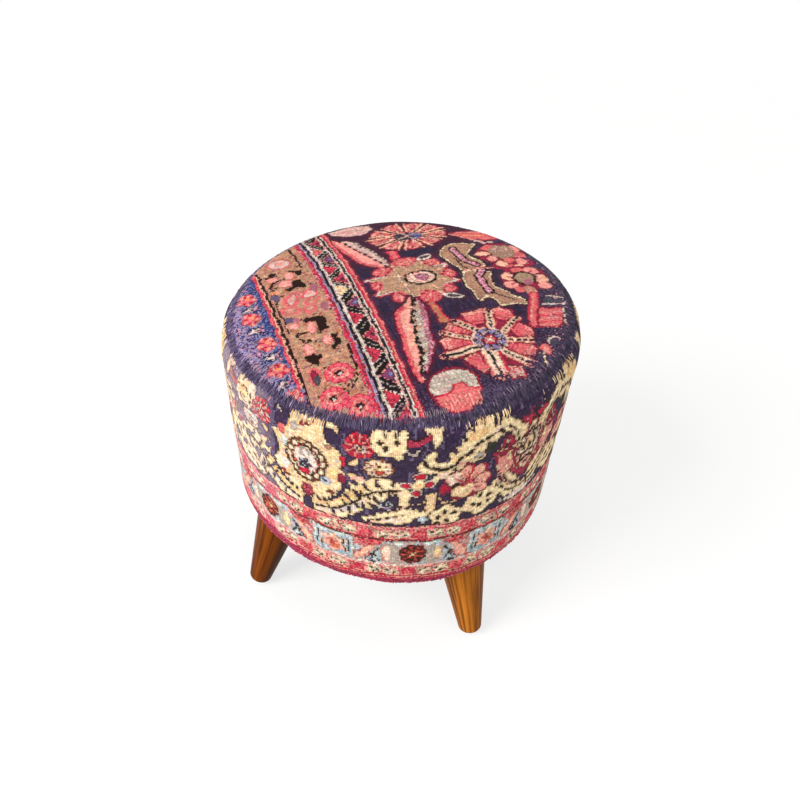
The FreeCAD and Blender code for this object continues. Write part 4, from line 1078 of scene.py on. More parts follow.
def dyeCorners(mesh, colour):
    colour = np.c_[colour, np.ones(len(colour))].astype(np.float32)
    mesh.attributes.new("knot", "FLOAT_COLOR", "CORNER").data.foreach_set("color", colour.ravel())


def tintKnots(mesh, grid, p, soft):
    # each knot keeps most of its own colour and shares the rest with the knots round its corners
    rows, cols = grid.shape[:2]
    wide = np.pad(grid, ((1, 1), (1, 1), (0, 0)), mode="edge")
    corner = (wide[:-1, :-1] + wide[1:, :-1] + wide[:-1, 1:] + wide[1:, 1:]) / 4
    at = listed(mesh.loops, "vertex_index")
    size, first = listed(mesh.polygons, "loop_total"), listed(mesh.polygons, "loop_start")
    centre = np.add.reduceat(p[at], first, axis=0) / size[:, None]
    cell = np.clip(((centre[:, :2] + 0.5) * (cols, rows)).astype(int), 0, (cols - 1, rows - 1))
    spot = np.clip(np.rint((p[:, :2] + 0.5) * (cols, rows)).astype(int), 0, (cols, rows))
    own = np.repeat(grid[cell[:, 1], cell[:, 0]], size, axis=0)
    colour = (1 - soft) * own + soft * corner[spot[at, 1], spot[at, 0]]
    colour[np.repeat(centre[:, 2] < -0.1, size)] = dyes["jute"]
    dyeCorners(mesh, colour)


def knotSheet(cols, rows, coarse, reach=0.0):
    # a fine face of knots and a coarse back, joined round the edge
    bm = bmesh.new()
    bmesh.ops.create_grid(bm, x_segments=cols, y_segments=rows, size=0.5)
    back = bmesh.ops.create_grid(bm, x_segments=cols // coarse, y_segments=rows // coarse, size=0.5)["verts"]
    bmesh.ops.translate(bm, verts=back, vec=(0, 0, -1))
    bmesh.ops.reverse_faces(bm, faces=[f for f in bm.faces if f.verts[0].co.z < -0.5])
    if reach:
        outside = [f for f in bm.faces if f.calc_center_median().xy.length > reach]
        bmesh.ops.delete(bm, geom=outside, context="FACES")
        for v in bm.verts:
            if v.is_boundary:
                v.co.xy *= reach / v.co.xy.length
    bmesh.ops.bridge_loops(bm, edges=[e for e in bm.edges if e.is_boundary])
    return bm, flatPoints(bm)


def knotGrid(cols, rows):
    return np.meshgrid((np.arange(cols) + 0.5) / cols - 0.5, (np.arange(rows) + 0.5) / rows - 0.5)


def tint(mesh, perFace):
    dyeCorners(mesh, np.repeat(perFace, listed(mesh.polygons, "loop_total"), axis=0))


def layFlat(mesh, p):
    uv = (p[:, :2] + 0.5) * (1, flatMap["face"])
    back = p[:, 2] < -0.5
    uv[back] = (p[back, :2] + 0.5) * (1, flatMap["back"]) + (0, flatMap["backFrom"])
    at = listed(mesh.loops, "vertex_index")
    mesh.uv_layers.new(name="OFBake").data.foreach_set("uv", uv[at].astype(np.float32).ravel())


print("stage: seat rug")
seat = {"knots": (238, 238), "coarse": 8, "wide": 380.8, "reach": 189.6, "turn": 30.8, "thick": 8.4,
        "sheen": 0.03, "relief": 0.5, "soft": 0.18, "uneven": 0.19, "outline": 0.42,
        "halo": (0.32, 0.08, 0.16), "dip": 1.4, "dipOver": 5, "lumps": 0.5}


def seatSpot(u, v):
    turn = math.radians(seat["turn"])
    return u * math.cos(turn) + v * math.sin(turn), u * math.sin(turn) - v * math.cos(turn)


def seatRug():
    cols, rows = seat["knots"]
    bm, p = knotSheet(cols, rows, seat["coarse"], seat["reach"] / seat["wide"])
    u, v = p[:, 0] * seat["wide"], -p[:, 1] * seat["wide"]
    x, y = seatSpot(u, v)
    s = np.hypot(x, y)
    dip = seat["dip"] * np.exp(-((s - seat["reach"]) / seat["dipOver"]) ** 2)
    xyz = skin(s, np.arctan2(y, x), dip - seat["lumps"] * lumps(u, v) - p[:, 2] * seat["thick"])
    mesh = toMesh(bm, "seatRug", xyz)
    gx, gy = knotGrid(cols, rows)
    colour = seatColours(gx.ravel() * seat["wide"], -gy.ravel() * seat["wide"])
    tintKnots(mesh, wool(colour, cols, rows, seat), p, seat["soft"])
    layFlat(mesh, p)
    return link("seat_rug_pile", mesh, rugFinish("seatWool", seat))


seatPiece = seatRug()

print("stage: side rug")
side = {"knots": (658, 126), "coarse": 7, "gap": 0.4, "top": -29.0, "edge": 4.0, "thick": 8.4,
        "sheen": 0.05, "relief": 0.6, "soft": 0.16, "uneven": 0.21, "outline": 0.48,
        "halo": (0.1, 0.04, 0.04), "dip": 1.8, "dipOver": 5, "lumps": 0.7, "lumpsOver": 20, "tuckOver": 13,
        "thinBy": 0.7, "thinOver": 14}


def sideDepth(a, t):
    low = hemAt(a) - t
    tuck = along(a, tuckAt, tuckBy) * np.clip(1 - low / side["tuckOver"], 0, 1) ** 1.5
    dip = side["dip"] * np.exp(-((t - side["top"]) / side["dipOver"]) ** 2)
    return dip + tuck - side["lumps"] * lumps(a, t) * np.clip(low / side["lumpsOver"], 0, 1)


def sidePlace(p):
    a = backSeam + side["gap"] + (p[:, 0] + 0.5) * (around - 2 * side["gap"])
    return a, side["top"] + (0.5 - p[:, 1]) * (hemAt(a) - side["edge"] - side["top"])


def sideRug():
    cols, rows = side["knots"]
    bm, p = knotSheet(cols, rows, side["coarse"])
    a, t = sidePlace(p)
    thin = side["thick"] * (1 - side["thinBy"] * np.clip(1 - (hemAt(a) - t) / side["thinOver"], 0, 1))
    xyz = skin(rimEnd + t, sideTurn(a), sideDepth(a, t) - p[:, 2] * thin)
    mesh = toMesh(bm, "sideRug", xyz)
    gx, gy = knotGrid(cols, rows)
    colour = sideColours(*sidePlace(np.c_[gx.ravel(), gy.ravel()]))
    tintKnots(mesh, wool(colour, cols, rows, side), p, side["soft"])
    layFlat(mesh, p)
    return link("side_rug_pile", mesh, rugFinish("sideWool", side))


sidePiece = sideRug()

print("stage: stitches, lacing and selvedge")
strand = {"middle": 300.0, "squat": 0.6, "ends": 0.55, "vary": 0.14}


def strands(name, paths, radius, colours, coat, flat=0.8, sides=5):
    # one short round strand, copied once for each path and bent along it
    count, rings = paths.shape[:2]
    bm = bmesh.new()
    bmesh.ops.create_cone(bm, cap_ends=True, segments=sides, radius1=1, radius2=1, depth=1)
    long = [e for e in bm.edges if abs(e.verts[0].co.z - e.verts[1].co.z) > 0.5]
    bmesh.ops.subdivide_edges(bm, edges=long, cuts=rings - 2, use_grid_fill=True)
    unit = flatPoints(bm)
    faces = len(bm.faces)
    one = toMesh(bm, name + "One")
    bm = bmesh.new()
    for _ in range(count):
        bm.from_mesh(one)
    bpy.data.meshes.remove(one)
    ring = np.rint((unit[:, 2] + 0.5) * (rings - 1)).astype(int)
    way = np.gradient(paths, axis=1)
    way /= np.linalg.norm(way, axis=2, keepdims=True)
    # outwards from the middle of the drum
    out = (paths - [0, 0, strand["middle"]]) * [1, 1, strand["squat"]]
    out -= (out * way).sum(2, keepdims=True) * way
    out /= np.linalg.norm(out, axis=2, keepdims=True)
    over = np.cross(way, out)
    fine = 1 - strand["ends"] * np.abs(np.linspace(-1, 1, rings)) ** 5
    wide = (radius[:, None] * fine)[:, ring][..., None]
    section = flat * unit[:, 0][:, None] * out[:, ring] + unit[:, 1][:, None] * over[:, ring]
    mesh = toMesh(bm, name, (paths[:, ring] + wide * section).reshape(-1, 3))
    tint(mesh, np.repeat(colours, faces, axis=0))
    return link(name, mesh, coat)


def pick(names, weights, count):
    chosen = rng.choice(len(names), count, p=np.array(weights) / sum(weights))
    base = np.array([dyes[n] for n in names])[chosen]
    return np.clip(base * (1 + strand["vary"] * rng.standard_normal((count, 1))), 0, 1)


stitch = {"bands": ((-35.5, -28.5), (-32, -24.5), (-28, -21)), "count": 960, "radius": 0.5, "waver": 1.3,
          "fine": 640, "fineRun": (-41.5, -33), "thin": 0.36, "seatR": 178,
          "teeth": 700, "toothRun": (-25, -14), "toothR": 0.468, "pattern": -13.0, "bright": 0.3,
          "toothWaver": 1.2, "toothTone": (0.75, 1.05), "lifts": (0.1, 0.15, 0.25), "vary": 0.14,
          "slant": (0.3, 0.9), "stray": 0.12, "sink": 0.6, "uneven": 0.1, "groove": 0.9, "grooveAt": -29,
          "grooveOver": 6, "pile": 0.55, "faded": 0.2}
# how many of the fine stitches show along the rim, and the painted light and shade on the rim yarn along it
fineAt = [-625, -200, -150, 55, 80, 105, 130, 170, 625]
fineShare = [0.3, 0.4, 0.95, 0.95, 0.25, 0.7, 0.7, 0.2, 0.3]
litShadeAt = [-625, -250, -150, 0, 90, 200, 400, 625]
litShadeBy = [0.8, 1.5, 1.35, 1.05, 0.7, 0.6, 0.7, 0.8]


def stitchRow(count, start, end, waver, radius, lift, shade, keep=None):
    a = (np.arange(count) + rng.random(count)) / count * around - around / 2
    if keep:
        a = a[rng.random(count) < np.interp(a, *keep)]
        count = len(a)
    top = start + rng.normal(0, waver, count)
    low = end + rng.normal(0, waver, count)
    q = np.linspace(0, 1, 4)
    t = top[:, None] + (low - top)[:, None] * q
    aa = a[:, None] + rng.normal(*stitch["slant"], count)[:, None] * (q - 0.5)
    aa = aa + rng.normal(0, stitch["stray"], (count, 4))
    rise = lift - (lift + stitch["sink"]) * np.abs(2 * q - 1) ** 3
    rise = rise + rng.normal(0, stitch["uneven"], (count, 1))
    groove = stitch["groove"] * np.exp(-((t - stitch["grooveAt"]) / stitch["grooveOver"]) ** 2)
    paths = skin(rimEnd + t, sideTurn(aa), groove - rise)
    return paths, rng.normal(radius, radius * stitch["vary"], count), shade(a)


def bandShade(a):
    # the yarn is painted lighter at the left, where the light falls, and darkest at the right, where it is in
    # shade
    fade = along(a, litShadeAt, litShadeBy)
    return pick(("ink", "haze", "thread", "lilac", "navy"), (20, 22, 42, 4, 12), len(a)) * fade[:, None]


def seatShade(a):
    # thin stitches over the seat's edge take up the pile they cross
    u, v = seatSpot(stitch["seatR"] * np.cos(sideTurn(a)), stitch["seatR"] * np.sin(sideTurn(a)))
    faded = (dyes["lilac"] + dyes["white"]) * stitch["faded"]
    return np.clip(seatColours(u, v) * stitch["pile"] + faded, 0, 1)


def sideShade(a):
    below = sideColours(a, np.full(len(a), stitch["pattern"]))
    return np.clip(below * rng.uniform(*stitch["toothTone"], (len(a), 1)), 0, 1)


def rimStitches():
    waver = stitch["waver"]
    lift, fineLift, toothLift = stitch["lifts"]
    rows = [stitchRow(stitch["count"], *run, waver, stitch["radius"], lift, bandShade)
            for run in stitch["bands"]]
    rows.append(stitchRow(stitch["fine"], *stitch["fineRun"], waver, stitch["thin"], fineLift, seatShade,
                          (fineAt, fineShare)))
    # only the pale teeth that reach down over the strip are seen
    teeth = stitchRow(stitch["teeth"], *stitch["toothRun"], stitch["toothWaver"], stitch["toothR"], toothLift,
                      sideShade)
    pale = teeth[2][:, 1] > stitch["bright"]
    rows.append([part[pale] for part in teeth])
    paths, radius, colours = (np.concatenate([row[k] for row in rows]) for k in range(3))
    return strands("rim_yarn", paths, radius, colours, yarn, sides=4)


lacing = {"from": -17, "to": 204, "step": 6.0, "half": 4.6, "slant": 2.6, "radius": 1.1, "rise": 1.0,
          "sink": 2.0, "over": 0.4, "stray": (0.2, 0.3)}


def backLacing():
    t = np.arange(lacing["from"], lacing["to"], lacing["step"])
    t = np.concatenate([t, t + lacing["step"] / 2])
    n = len(t)
    way = np.where(np.arange(n) < n // 2, 1, -1)
    q = np.linspace(-1, 1, 5)
    strayA, strayT = lacing["stray"]
    aa = backSeam + lacing["half"] * q * way[:, None] + rng.normal(0, strayA, (n, 5))
    tt = t[:, None] + lacing["slant"] * q + rng.normal(0, strayT, (n, 1))
    lift = lacing["rise"] - lacing["sink"] * np.abs(q) ** 3 + lacing["over"] * (way[:, None] > 0)
    paths = skin(rimEnd + tt, sideTurn(aa), sideDepth(aa, tt) - lift)
    colours = pick(("navy", "ink", "deep", "plum"), (4, 4, 1, 1), n)
    return strands("back_lacing_yarn", paths, np.full(n, lacing["radius"]), colours, yarn)


selvedge = {"radius": 3.9, "wraps": 560, "yarn": 1.15, "over": 0.35, "from": 118, "turn": 250,
            "segments": 320, "sides": 10, "stray": 0.4, "strayTurn": 5, "slant": 2.0, "uneven": 0.22,
            "vary": 0.14}


def cordPoint(a, angle, radius):
    # point round the selvedge's core: angle 0 faces outwards, 90 up
    t = hemAt(a) - selvedge["radius"]
    core = skin(rimEnd + t, sideTurn(a), sideDepth(a, t) + selvedge["radius"])
    turn = sideTurn(a)
    out = np.stack([np.cos(turn), np.sin(turn), np.zeros_like(turn)], -1)
    up = np.array([0.0, 0.0, 1.0])
    away, rise = (radius * part(angle) for part in (np.cos, np.sin))
    return core + away[..., None] * out + rise[..., None] * up


def rolled(cols, rows, place, weld):
    # a flat grid bent into place and welded where its edges meet
    bm = bmesh.new()
    bmesh.ops.create_grid(bm, x_segments=cols, y_segments=rows, size=0.5)
    for v, point in zip(bm.verts, place(flatPoints(bm))):
        v.co = point
    bmesh.ops.remove_doubles(bm, verts=bm.verts, dist=weld)
    return bm


def selvedgeCord():
    bm = rolled(selvedge["segments"], selvedge["sides"],
                lambda p: cordPoint(p[:, 0] * around, p[:, 1] * 2 * math.pi, selvedge["radius"]), 0.05)
    bmesh.ops.recalc_face_normals(bm, faces=bm.faces)
    mesh = toMesh(bm, "selvedgeCore", flatPoints(bm))
    tint(mesh, np.tile(dyes["fuchsia"], (len(mesh.polygons), 1)))
    return link("selvedge_core", mesh, yarn)


def selvedgeWraps():
    n = selvedge["wraps"]
    a = (np.arange(n) + 0.5) / n * around - around / 2 + rng.normal(0, selvedge["stray"], n)
    q = np.linspace(0, 1, 5)
    angle = selvedge["from"] - selvedge["turn"] * q + rng.normal(0, selvedge["strayTurn"], (n, 1))
    aa = a[:, None] + selvedge["slant"] * (q - 0.5)
    reach = selvedge["radius"] + selvedge["over"] + rng.normal(0, selvedge["uneven"], (n, 1))
    paths = cordPoint(aa, np.radians(angle), reach)
    colours = pick(("fuchsia", "wine", "ruby", "rosy", "red"), (10, 4, 5, 3, 2), n)
    thick = rng.normal(selvedge["yarn"], selvedge["vary"], n)
    return strands("selvedge_yarn", paths, thick, colours, yarn)


yarn = yarnFinish("yarn")
stitchPiece = rimStitches()
lacePiece = backLacing()
cordPiece = selvedgeCord()
wrapPiece = selvedgeWraps()

print("stage: padding and dust cloth")


def polarSheet(name, cols, rows, place, coat, thick):
    # a sheet laid out round the axis, closed on itself
    bm = rolled(cols, rows, lambda p: place((p[:, 0] + 0.5) * 2 * math.pi, 0.5 - p[:, 1]), 0.02)
    piece = link(name, toMesh(bm, name, flatPoints(bm)), coat)
    made = piece.modifiers.new("Thickness", "SOLIDIFY")
    made.thickness = thick * mm
    made.offset = -1
    return piece


nap = {"detail": 4.0, "rough": 0.65, "byGrain": 0.5, "least": 0.75, "high": 0.001}


def softFinish(name, colour, scale, relief):
    made, w, shader = finish(name, colour, Roughness=0.97, Specular_IOR_Level=0.1)
    spot = w.node("ShaderNodeTexCoord", out="Object")
    grain = spotNoise(w, spot, scale, nap["detail"], nap["rough"])
    shadeColour(w, shader, rgba(colour), grain * nap["byGrain"] + nap["least"])
    raised(w, shader, relief, nap["high"], grain)
    return made


felt = softFinish("felt", tone(214, 208, 196), 700.0, 0.5)
wadding = {"depth": 9.7, "thick": 5.2, "seatEnd": rimEnd + 14.8, "sideFrom": rimEnd + 16.4, "sideLong": 189.2}


def wadSheet(name, rows, start, long):
    return polarSheet(name, 120, rows, lambda th, q: skin(start + q * long, th, wadding["depth"]), felt,
                      wadding["thick"])


seatWad = wadSheet("seat_wadding_felt", 30, 0.0, wadding["seatEnd"])
sideWad = wadSheet("side_wadding_felt", 24, wadding["sideFrom"], wadding["sideLong"])

cloth = {"reach": 187.6, "z": 130.95, "thick": 0.5, "sag": 2.4, "hem": 9, "hemOver": 60, "plateR": 161.4,
         "plateHalf": 31.0, "plateOver": 40, "folds": 5, "foldRun": 20, "foldBy": 0.2}


def dustCloth(th, q):
    r = q * cloth["reach"]
    x, y = r * np.cos(th), r * np.sin(th)
    # held at its hem and round the four leg plates, loose between them
    free = np.clip((cloth["reach"] - cloth["hem"] - r) / cloth["hemOver"], 0, 1)
    for i in range(4):
        a = math.pi / 4 + i * math.pi / 2
        near = np.hypot(x - cloth["plateR"] * math.cos(a), y - cloth["plateR"] * math.sin(a))
        free = free * np.clip((near - cloth["plateHalf"]) / cloth["plateOver"], 0, 1)
    wave = np.sin(cloth["folds"] * th + r / cloth["foldRun"])
    folds = 1 - cloth["foldBy"] + cloth["foldBy"] * wave
    return np.stack([x, y, cloth["z"] - cloth["sag"] * free * folds], -1)


blackCloth = softFinish("blackCloth", tone(34, 33, 36), 1500.0, 0.4)
dustPiece = polarSheet("dust_cloth", 96, 24, dustCloth, blackCloth, cloth["thick"])

foamSize = {"reach": 181.0, "taper": 4, "low": 336.8, "high": 372.0, "bevel": 9, "voxel": 0.006,
            "depth": 15.8, "spare": 0.3, "pressure": 4.0, "cap": 6.0, "mass": 0.3, "stiff": 40, "frames": 20}
foamCoat = softFinish("foam", tone(236, 222, 170), 420.0, 0.35)


def foamBlock():
    bm = bmesh.new()
    high, low, reach = foamSize["high"], foamSize["low"], foamSize["reach"]
    bmesh.ops.create_cone(bm, cap_ends=True, segments=96, radius1=reach, radius2=reach - foamSize["taper"],
                          depth=high - low)
    bmesh.ops.translate(bm, vec=(0, 0, (high + low) / 2), verts=bm.verts)
    rim = [e for e in bm.edges if all(v.co.z > high - 1 for v in e.verts)]
    bmesh.ops.bevel(bm, geom=rim, offset=foamSize["bevel"], segments=4, profile=0.5, affect="EDGES",
                    material=-1)
    mesh = toMesh(bm, "foamBlock", flatPoints(bm))
    piece = link("seat_foam", mesh, foamCoat)
    bpy.context.view_layer.objects.active = piece
    remesh = piece.modifiers.new("Even", "REMESH")
    remesh.mode = "VOXEL"
    remesh.voxel_size = foamSize["voxel"]
    bpy.ops.object.modifier_apply(modifier="Even")
    swellFoam(piece, meshPoints(piece.data))
    settleFoam(piece)
    smooth = piece.modifiers.new("Rounding", "SUBSURF")
    smooth.levels = smooth.render_levels = 1
    return piece


def meshPoints(mesh):
    p = np.zeros(len(mesh.vertices) * 3, np.float32)
    mesh.vertices.foreach_get("co", p)
    return p.reshape(-1, 3).astype(float) / mm


def setPoints(mesh, p):
    mesh.vertices.foreach_set("co", (p * mm).astype(np.float32).ravel())
    mesh.update()


def swellFoam(piece, start):
    made = piece.modifiers.new("Swell", "CLOTH")
    made.settings.use_pressure = True
    made.settings.uniform_pressure_force = foamSize["pressure"]
    made.settings.effector_weights.gravity = 0
    made.settings.mass = foamSize["mass"]
    made.settings.tension_stiffness = made.settings.compression_stiffness = foamSize["stiff"]
    made.point_cache.frame_start, made.point_cache.frame_end = 1, foamSize["frames"]
    for f in range(1, foamSize["frames"] + 1):
        bpy.context.scene.frame_set(f)
    seen = piece.evaluated_get(bpy.context.evaluated_depsgraph_get())
    grown = meshPoints(seen.to_mesh())
    seen.to_mesh_clear()
    piece.modifiers.remove(made)
    bpy.context.scene.frame_set(1)
    move = grown - start
    far = np.linalg.norm(move, axis=1, keepdims=True)
    setPoints(piece.data, start + move * np.minimum(1, foamSize["cap"] / np.maximum(far, 1e-6)))


def settleFoam(piece):
    # the foam fills the room under the wadding and rests flat on the seat board
    p = meshPoints(piece.data)
    roomR, roomZ = profile(np.linspace(0, rimEnd + 20, 400), foamSize["depth"])
    lift = lean(p * [1, 1, 0] + [0, 0, body["rimZ"]])[:, 2] - body["rimZ"]
    r = np.hypot(p[:, 0], p[:, 1])
    top = np.interp(r, roomR, roomZ)
    most = body["rimR"] + body["rim"] - foamSize["depth"]
    p[:, :2] *= np.minimum(1, most / np.maximum(r, 1e-6))[:, None]
    p[:, 2] = np.minimum(p[:, 2] + lift, top + lift - foamSize["spare"])
    p[:, 2] = np.maximum(p[:, 2], foamSize["low"])
    setPoints(piece.data, p)


foamPiece = foamBlock()

print("stage: finishes of the wood, steel and felt")


timber = {"warp": (18.0, 3.0, 0.55), "pores": (620.0, 3.0, 0.65), "bandNoise": (3.0, 0.6), "streaks": 3.2,
          "tilt": 0.6, "ringBands": 9.0, "ringWarp": 12.0, "byRings": 0.1, "byBands": 0.6, "byStreaks": 0.6,
          "byWarp": 0.1, "right": (0.98, 0.2, 0.0), "shadeFrom": -0.004, "shadeTo": 0.019, "byPores": 0.7,
          "least": 0.62, "relief": 0.12, "high": 0.0005, "ringHigh": 0.3}


def woodFinish(name, axis, settings, seed, taper=(0.0, 0.0, 1.0, 0.0)):
    # grain runs along the given axis and draws together where a turned leg tapers
    made, w, shader = finish(name, Roughness=settings["rough"], Specular_IOR_Level=settings["gloss"])
    spot = w.node("ShaderNodeTexCoord", out="Object")
    upright = axis.to_track_quat("Z", "Y").inverted()
    hx, hy, _ = upright @ Vector(timber["right"])
    feeds = {"Vector": spot, "Rotation": upright.to_euler()}
    local = w.node("ShaderNodeVectorRotate", feeds, rotation_type="EULER_XYZ")
    px, py, pz = (w.node("ShaderNodeSeparateXYZ", {0: local}, k) for k in "XYZ")
    girth = pz * taper[3] + taper[2]
    px, py = (px - taper[0]) / girth, (py - taper[1]) / girth
    away = pz * settings["stretch"] + seed * 1.3
    moved = w.node("ShaderNodeCombineXYZ", {0: px + seed, 1: py + seed * 0.7, 2: away})
    warp = spotNoise(w, moved, *timber["warp"])
    bands = spotNoise(w, moved, settings["bands"], *timber["bandNoise"])
    pores = spotNoise(w, moved, *timber["pores"])
    streaks = spotNoise(w, moved, settings["bands"] * timber["streaks"], *timber["bandNoise"])
    phase = (px + py * timber["tilt"]) * settings["lines"]
    phase = phase + bands * timber["ringBands"] + warp * timber["ringWarp"]
    rings = w.maths("SINE", phase) * 0.5 + 0.5
    grain = rings * timber["byRings"] + bands * timber["byBands"]
    grain = grain + streaks * timber["byStreaks"] + warp * timber["byWarp"]
    ramp = w.node("ShaderNodeMapRange", {0: grain, 1: settings["from"], 2: settings["to"]})
    wood = ramp.mix(rgba(settings["dark"]), rgba(settings["light"]))
    # a leg is painted darker towards its right, standing in for the shade on that side
    feeds = {0: px * hx + py * hy, 1: timber["shadeFrom"], 2: timber["shadeTo"], 3: 1.0, 4: settings["deep"]}
    deep = w.node("ShaderNodeMapRange", feeds)
    shadeColour(w, shader, wood, (pores * timber["byPores"] + timber["least"]) * deep)
    raised(w, shader, timber["relief"], timber["high"], pores + rings * timber["ringHigh"])
    return made


legWood = {"rough": 0.42, "gloss": 0.04, "stretch": 0.03, "lines": 640.0, "bands": 100.0, "from": 0.57,
           "to": 0.82, "dark": tone(92, 44, 2), "light": tone(196, 116, 30)}
# each leg's tint of red, green and blue, and how dark the painted shade on its right side is
legTintsAndShade = np.array([(0.8, 0.8, 0.8, 0.7), (0.66, 0.62, 0.46, 0.7), (0.38, 0.28, 0.03, 0.42),
                     (0.86, 0.88, 1.1, 0.74)])
plain = {"rough": 0.7, "gloss": 0.08, "from": 0.54, "to": 0.86, "deep": 1.0}
ply = plain | {"stretch": 0.2, "lines": 300.0, "bands": 16.0,
               "dark": tone(190, 150, 104), "light": tone(222, 190, 146)}
pine = plain | {"stretch": 0.08, "lines": 700.0, "bands": 26.0,
                "dark": tone(196, 152, 98), "light": tone(226, 192, 140)}
hard = plain | {"stretch": 1.0, "lines": 0.0, "bands": 200.0,
                "dark": tone(92, 62, 40), "light": tone(118, 82, 54)}
steelCoat = finish("zincSteel", tone(186, 188, 190), Metallic=1.0, Roughness=0.38)[0]
padCoat = softFinish("padFelt", tone(96, 82, 70), 900.0, 0.5)
splay = math.radians(19.6)


def legAxis(i):
    a = math.radians(45 + 90 * i)
    return Vector((math.sin(splay) * math.cos(a), math.sin(splay) * math.sin(a), -math.cos(splay)))


def legTaper(node, axis):
    # the leg's centre line and how its girth changes along it, as a share of the girth half way down
    turn = np.array(axis.to_track_quat("Z", "Y").inverted().to_matrix())
    p = meshPoints(node.data) * mm @ turn.T
    x, y = ((p[:, k].max() + p[:, k].min()) / 2 for k in (0, 1))
    slope, base = np.polyfit(p[:, 2], np.hypot(p[:, 0] - x, p[:, 1] - y), 1)
    half = slope * p[:, 2].mean() + base
    return x, y, base / half, slope / half


coats = {
    "seat_board": (woodFinish("plySeat", Vector((1, 0, 0)), ply, 0.3), "plywood"),
    "base_board": (woodFinish("plyBase", Vector((1, 0, 0)), ply, 1.1), "plywood"),
    "drum_skin": (woodFinish("hardboard", Vector((0, 0, 1)), hard, 0.0), "hardboard"),
    "post_": (woodFinish("softwood", Vector((0, 0, 1)), pine, 0.6), "softwood"),
    "felt_pad_": (padCoat, "pad_felt"),
}
for i in range(4):
    leg, axis, hue = "leg_%d" % (i + 1), legAxis(i), legTintsAndShade[i, :3]
    shaded = legWood | {"dark": legWood["dark"] * hue, "light": legWood["light"] * hue,
                        "deep": legTintsAndShade[i, 3]}
    taper = legTaper(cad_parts[leg], axis)
    coats[leg] = (woodFinish("legWood%d" % (i + 1), axis, shaded, 0.37 * i, taper), "leg_wood")
for name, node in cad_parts.items():
    coat, slot = coats.get(name) or coats.get(name[:-1]) or (steelCoat, "zinc_steel")
    node.data.materials.clear()
    node.data.materials.append(coat)

print("stage: joining the pieces to the frame")
# each piece, the solid it stands for and what it is made of; the wraps go with the cord
madeOf = (
    (seatPiece, "seat_rug", "seat_rug_wool"),
    (sidePiece, "side_rug", "side_rug_wool"),
    (stitchPiece, "rim_stitching", "rim_yarn"),
    (lacePiece, "back_seam_lacing", "rim_yarn"),
    (cordPiece, "selvedge_cord", "selvedge_wool"),
    (wrapPiece, None, "selvedge_wool"),
    (seatWad, "seat_wadding", "wadding_felt"),
    (sideWad, "side_wadding", "wadding_felt"),
    (dustPiece, "dust_cover", "black_cloth"),
    (foamPiece, "foam_pad", "seat_foam"),
)
for piece, node, slot in madeOf:
    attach(piece, "root")
    if node:
        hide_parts(node)

wadRound = 2 * wadding["seatEnd"] * mm
0.785 * wadRound ** 2

print("stage: floor, light and camera")


def backdrop(tree):
    # white to the eye and in gloss, plain soft light for everything else
    w = Wire(tree)
    seen = w.node("ShaderNodeLightPath", out="Is Camera Ray")
    gloss = w.node("ShaderNodeLightPath", out="Is Glossy Ray")
    through = w.node("ShaderNodeLightPath", out="Is Transmission Ray")
    return w, w.maths("MAXIMUM", w.maths("MAXIMUM", seen, gloss), through)


stageSet = {"reach": 6.0, "floor": tone(244, 243, 241), "veil": 0.72, "sky": 0.5, "fadeFrom": 0.6,
            "fadeTo": 2.6, "aim": (0, 0, 0.25)}
bm = bmesh.new()
bmesh.ops.create_grid(bm, x_segments=1, y_segments=1, size=stageSet["reach"])
floorCoat, _, shader = finish("floor", stageSet["floor"], Roughness=0.9, Specular_IOR_Level=0.0)
floor = link("floor", toMesh(bm, "floor", smooth=False), floorCoat)
w, share = backdrop(floorCoat.node_tree)
glow = w.node("ShaderNodeEmission", {"Color": (1, 1, 1, 1), "Strength": 1.0})
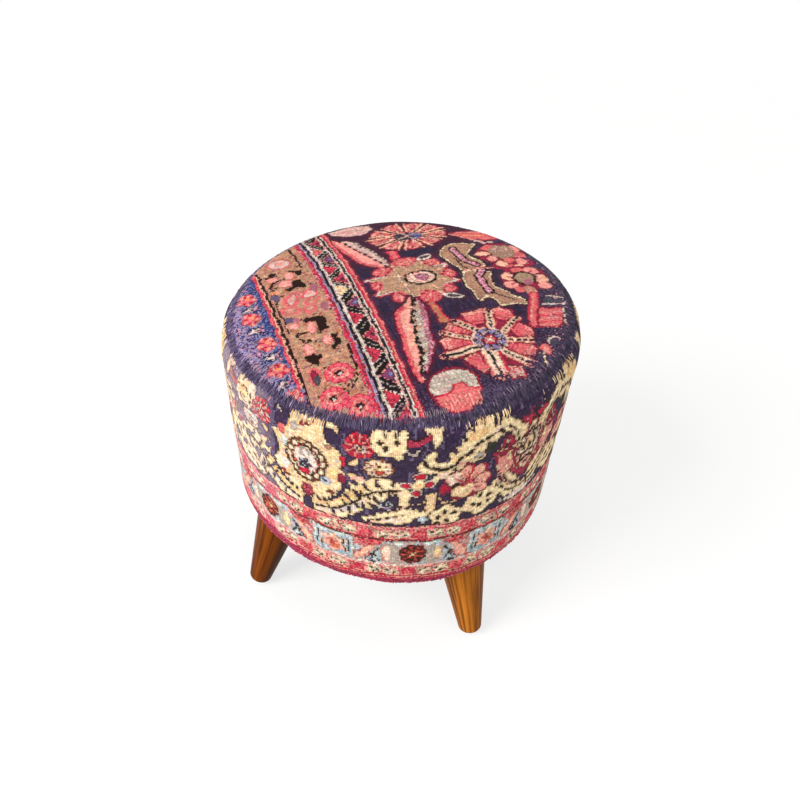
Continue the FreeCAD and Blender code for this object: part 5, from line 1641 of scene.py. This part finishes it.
# the floor fades to white before its edge
spot = w.node("ShaderNodeTexCoord", out="Object")
far = w.node("ShaderNodeVectorMath", {0: spot}, "Value", operation="LENGTH")
feeds = {0: far, 1: stageSet["fadeFrom"], 2: stageSet["fadeTo"], 3: stageSet["veil"], 4: 1.0}
veil = w.node("ShaderNodeMapRange", feeds)
both = w.node("ShaderNodeMixShader", {0: share * veil, 1: Wire(w.tree, shader.outputs[0]), 2: glow})
w.tree.links.new(both.socket, w.tree.nodes["Material Output"].inputs["Surface"])

world = bpy.data.worlds.new("studio")
bpy.context.scene.world = world
world.use_nodes = True
w, share = backdrop(world.node_tree)
back = world.node_tree.nodes["Background"]
join(share * (1 - stageSet["sky"]) + stageSet["sky"], back, "Strength")
back.inputs["Color"].default_value = (1, 1, 1, 1)

lamps = {
    "key": {"at": (-3.6, -3.2, 4.0), "size": 3.2, "power": 420.0},
    "fill": {"at": (3.6, -2.6, 3.4), "size": 4.0, "power": 40.0},
    "top": {"at": (0.2, 1.2, 5.4), "size": 4.0, "power": 60.0},
}
for name, lamp in lamps.items():
    made = bpy.data.lights.new(name, "AREA")
    made.size, made.energy = lamp["size"], lamp["power"]
    holder = bpy.data.objects.new(name, made)
    bpy.context.scene.collection.objects.link(holder)
    holder.location = lamp["at"]
    towards = Vector(stageSet["aim"]) - Vector(lamp["at"])
    holder.rotation_euler = towards.to_track_quat("-Z", "Y").to_euler()

view = {"at": (0.13751, -0.66590, 0.84837), "yaw": 15.2513, "down": 45.1015, "roll": 0.3747, "lens": 33.0,
        "sensor": 36.0, "shift": (0.05, 0.05)}
yaw, down, roll = (math.radians(view[k]) for k in ("yaw", "down", "roll"))
right = Vector((math.cos(yaw), math.sin(yaw), 0))
ahead = Vector((-math.sin(yaw) * math.cos(down), math.cos(yaw) * math.cos(down), -math.sin(down)))
upward = right.cross(ahead)
xCam = right * math.cos(roll) + upward * math.sin(roll)
yCam = upward * math.cos(roll) - right * math.sin(roll)
eye = bpy.data.cameras.new("eye")
eye.lens, eye.sensor_width = view["lens"], view["sensor"]
eye.shift_x, eye.shift_y = view["shift"]
eye.clip_start, eye.clip_end = 0.01, 50
holder = bpy.data.objects.new("eye", eye)
bpy.context.scene.collection.objects.link(holder)
holder.matrix_world = Matrix((xCam, yCam, -ahead)).transposed().to_4x4()
holder.location = view["at"]
bpy.context.scene.camera = holder
bpy.context.scene.view_settings.view_transform = "Standard"

print("stage: done")
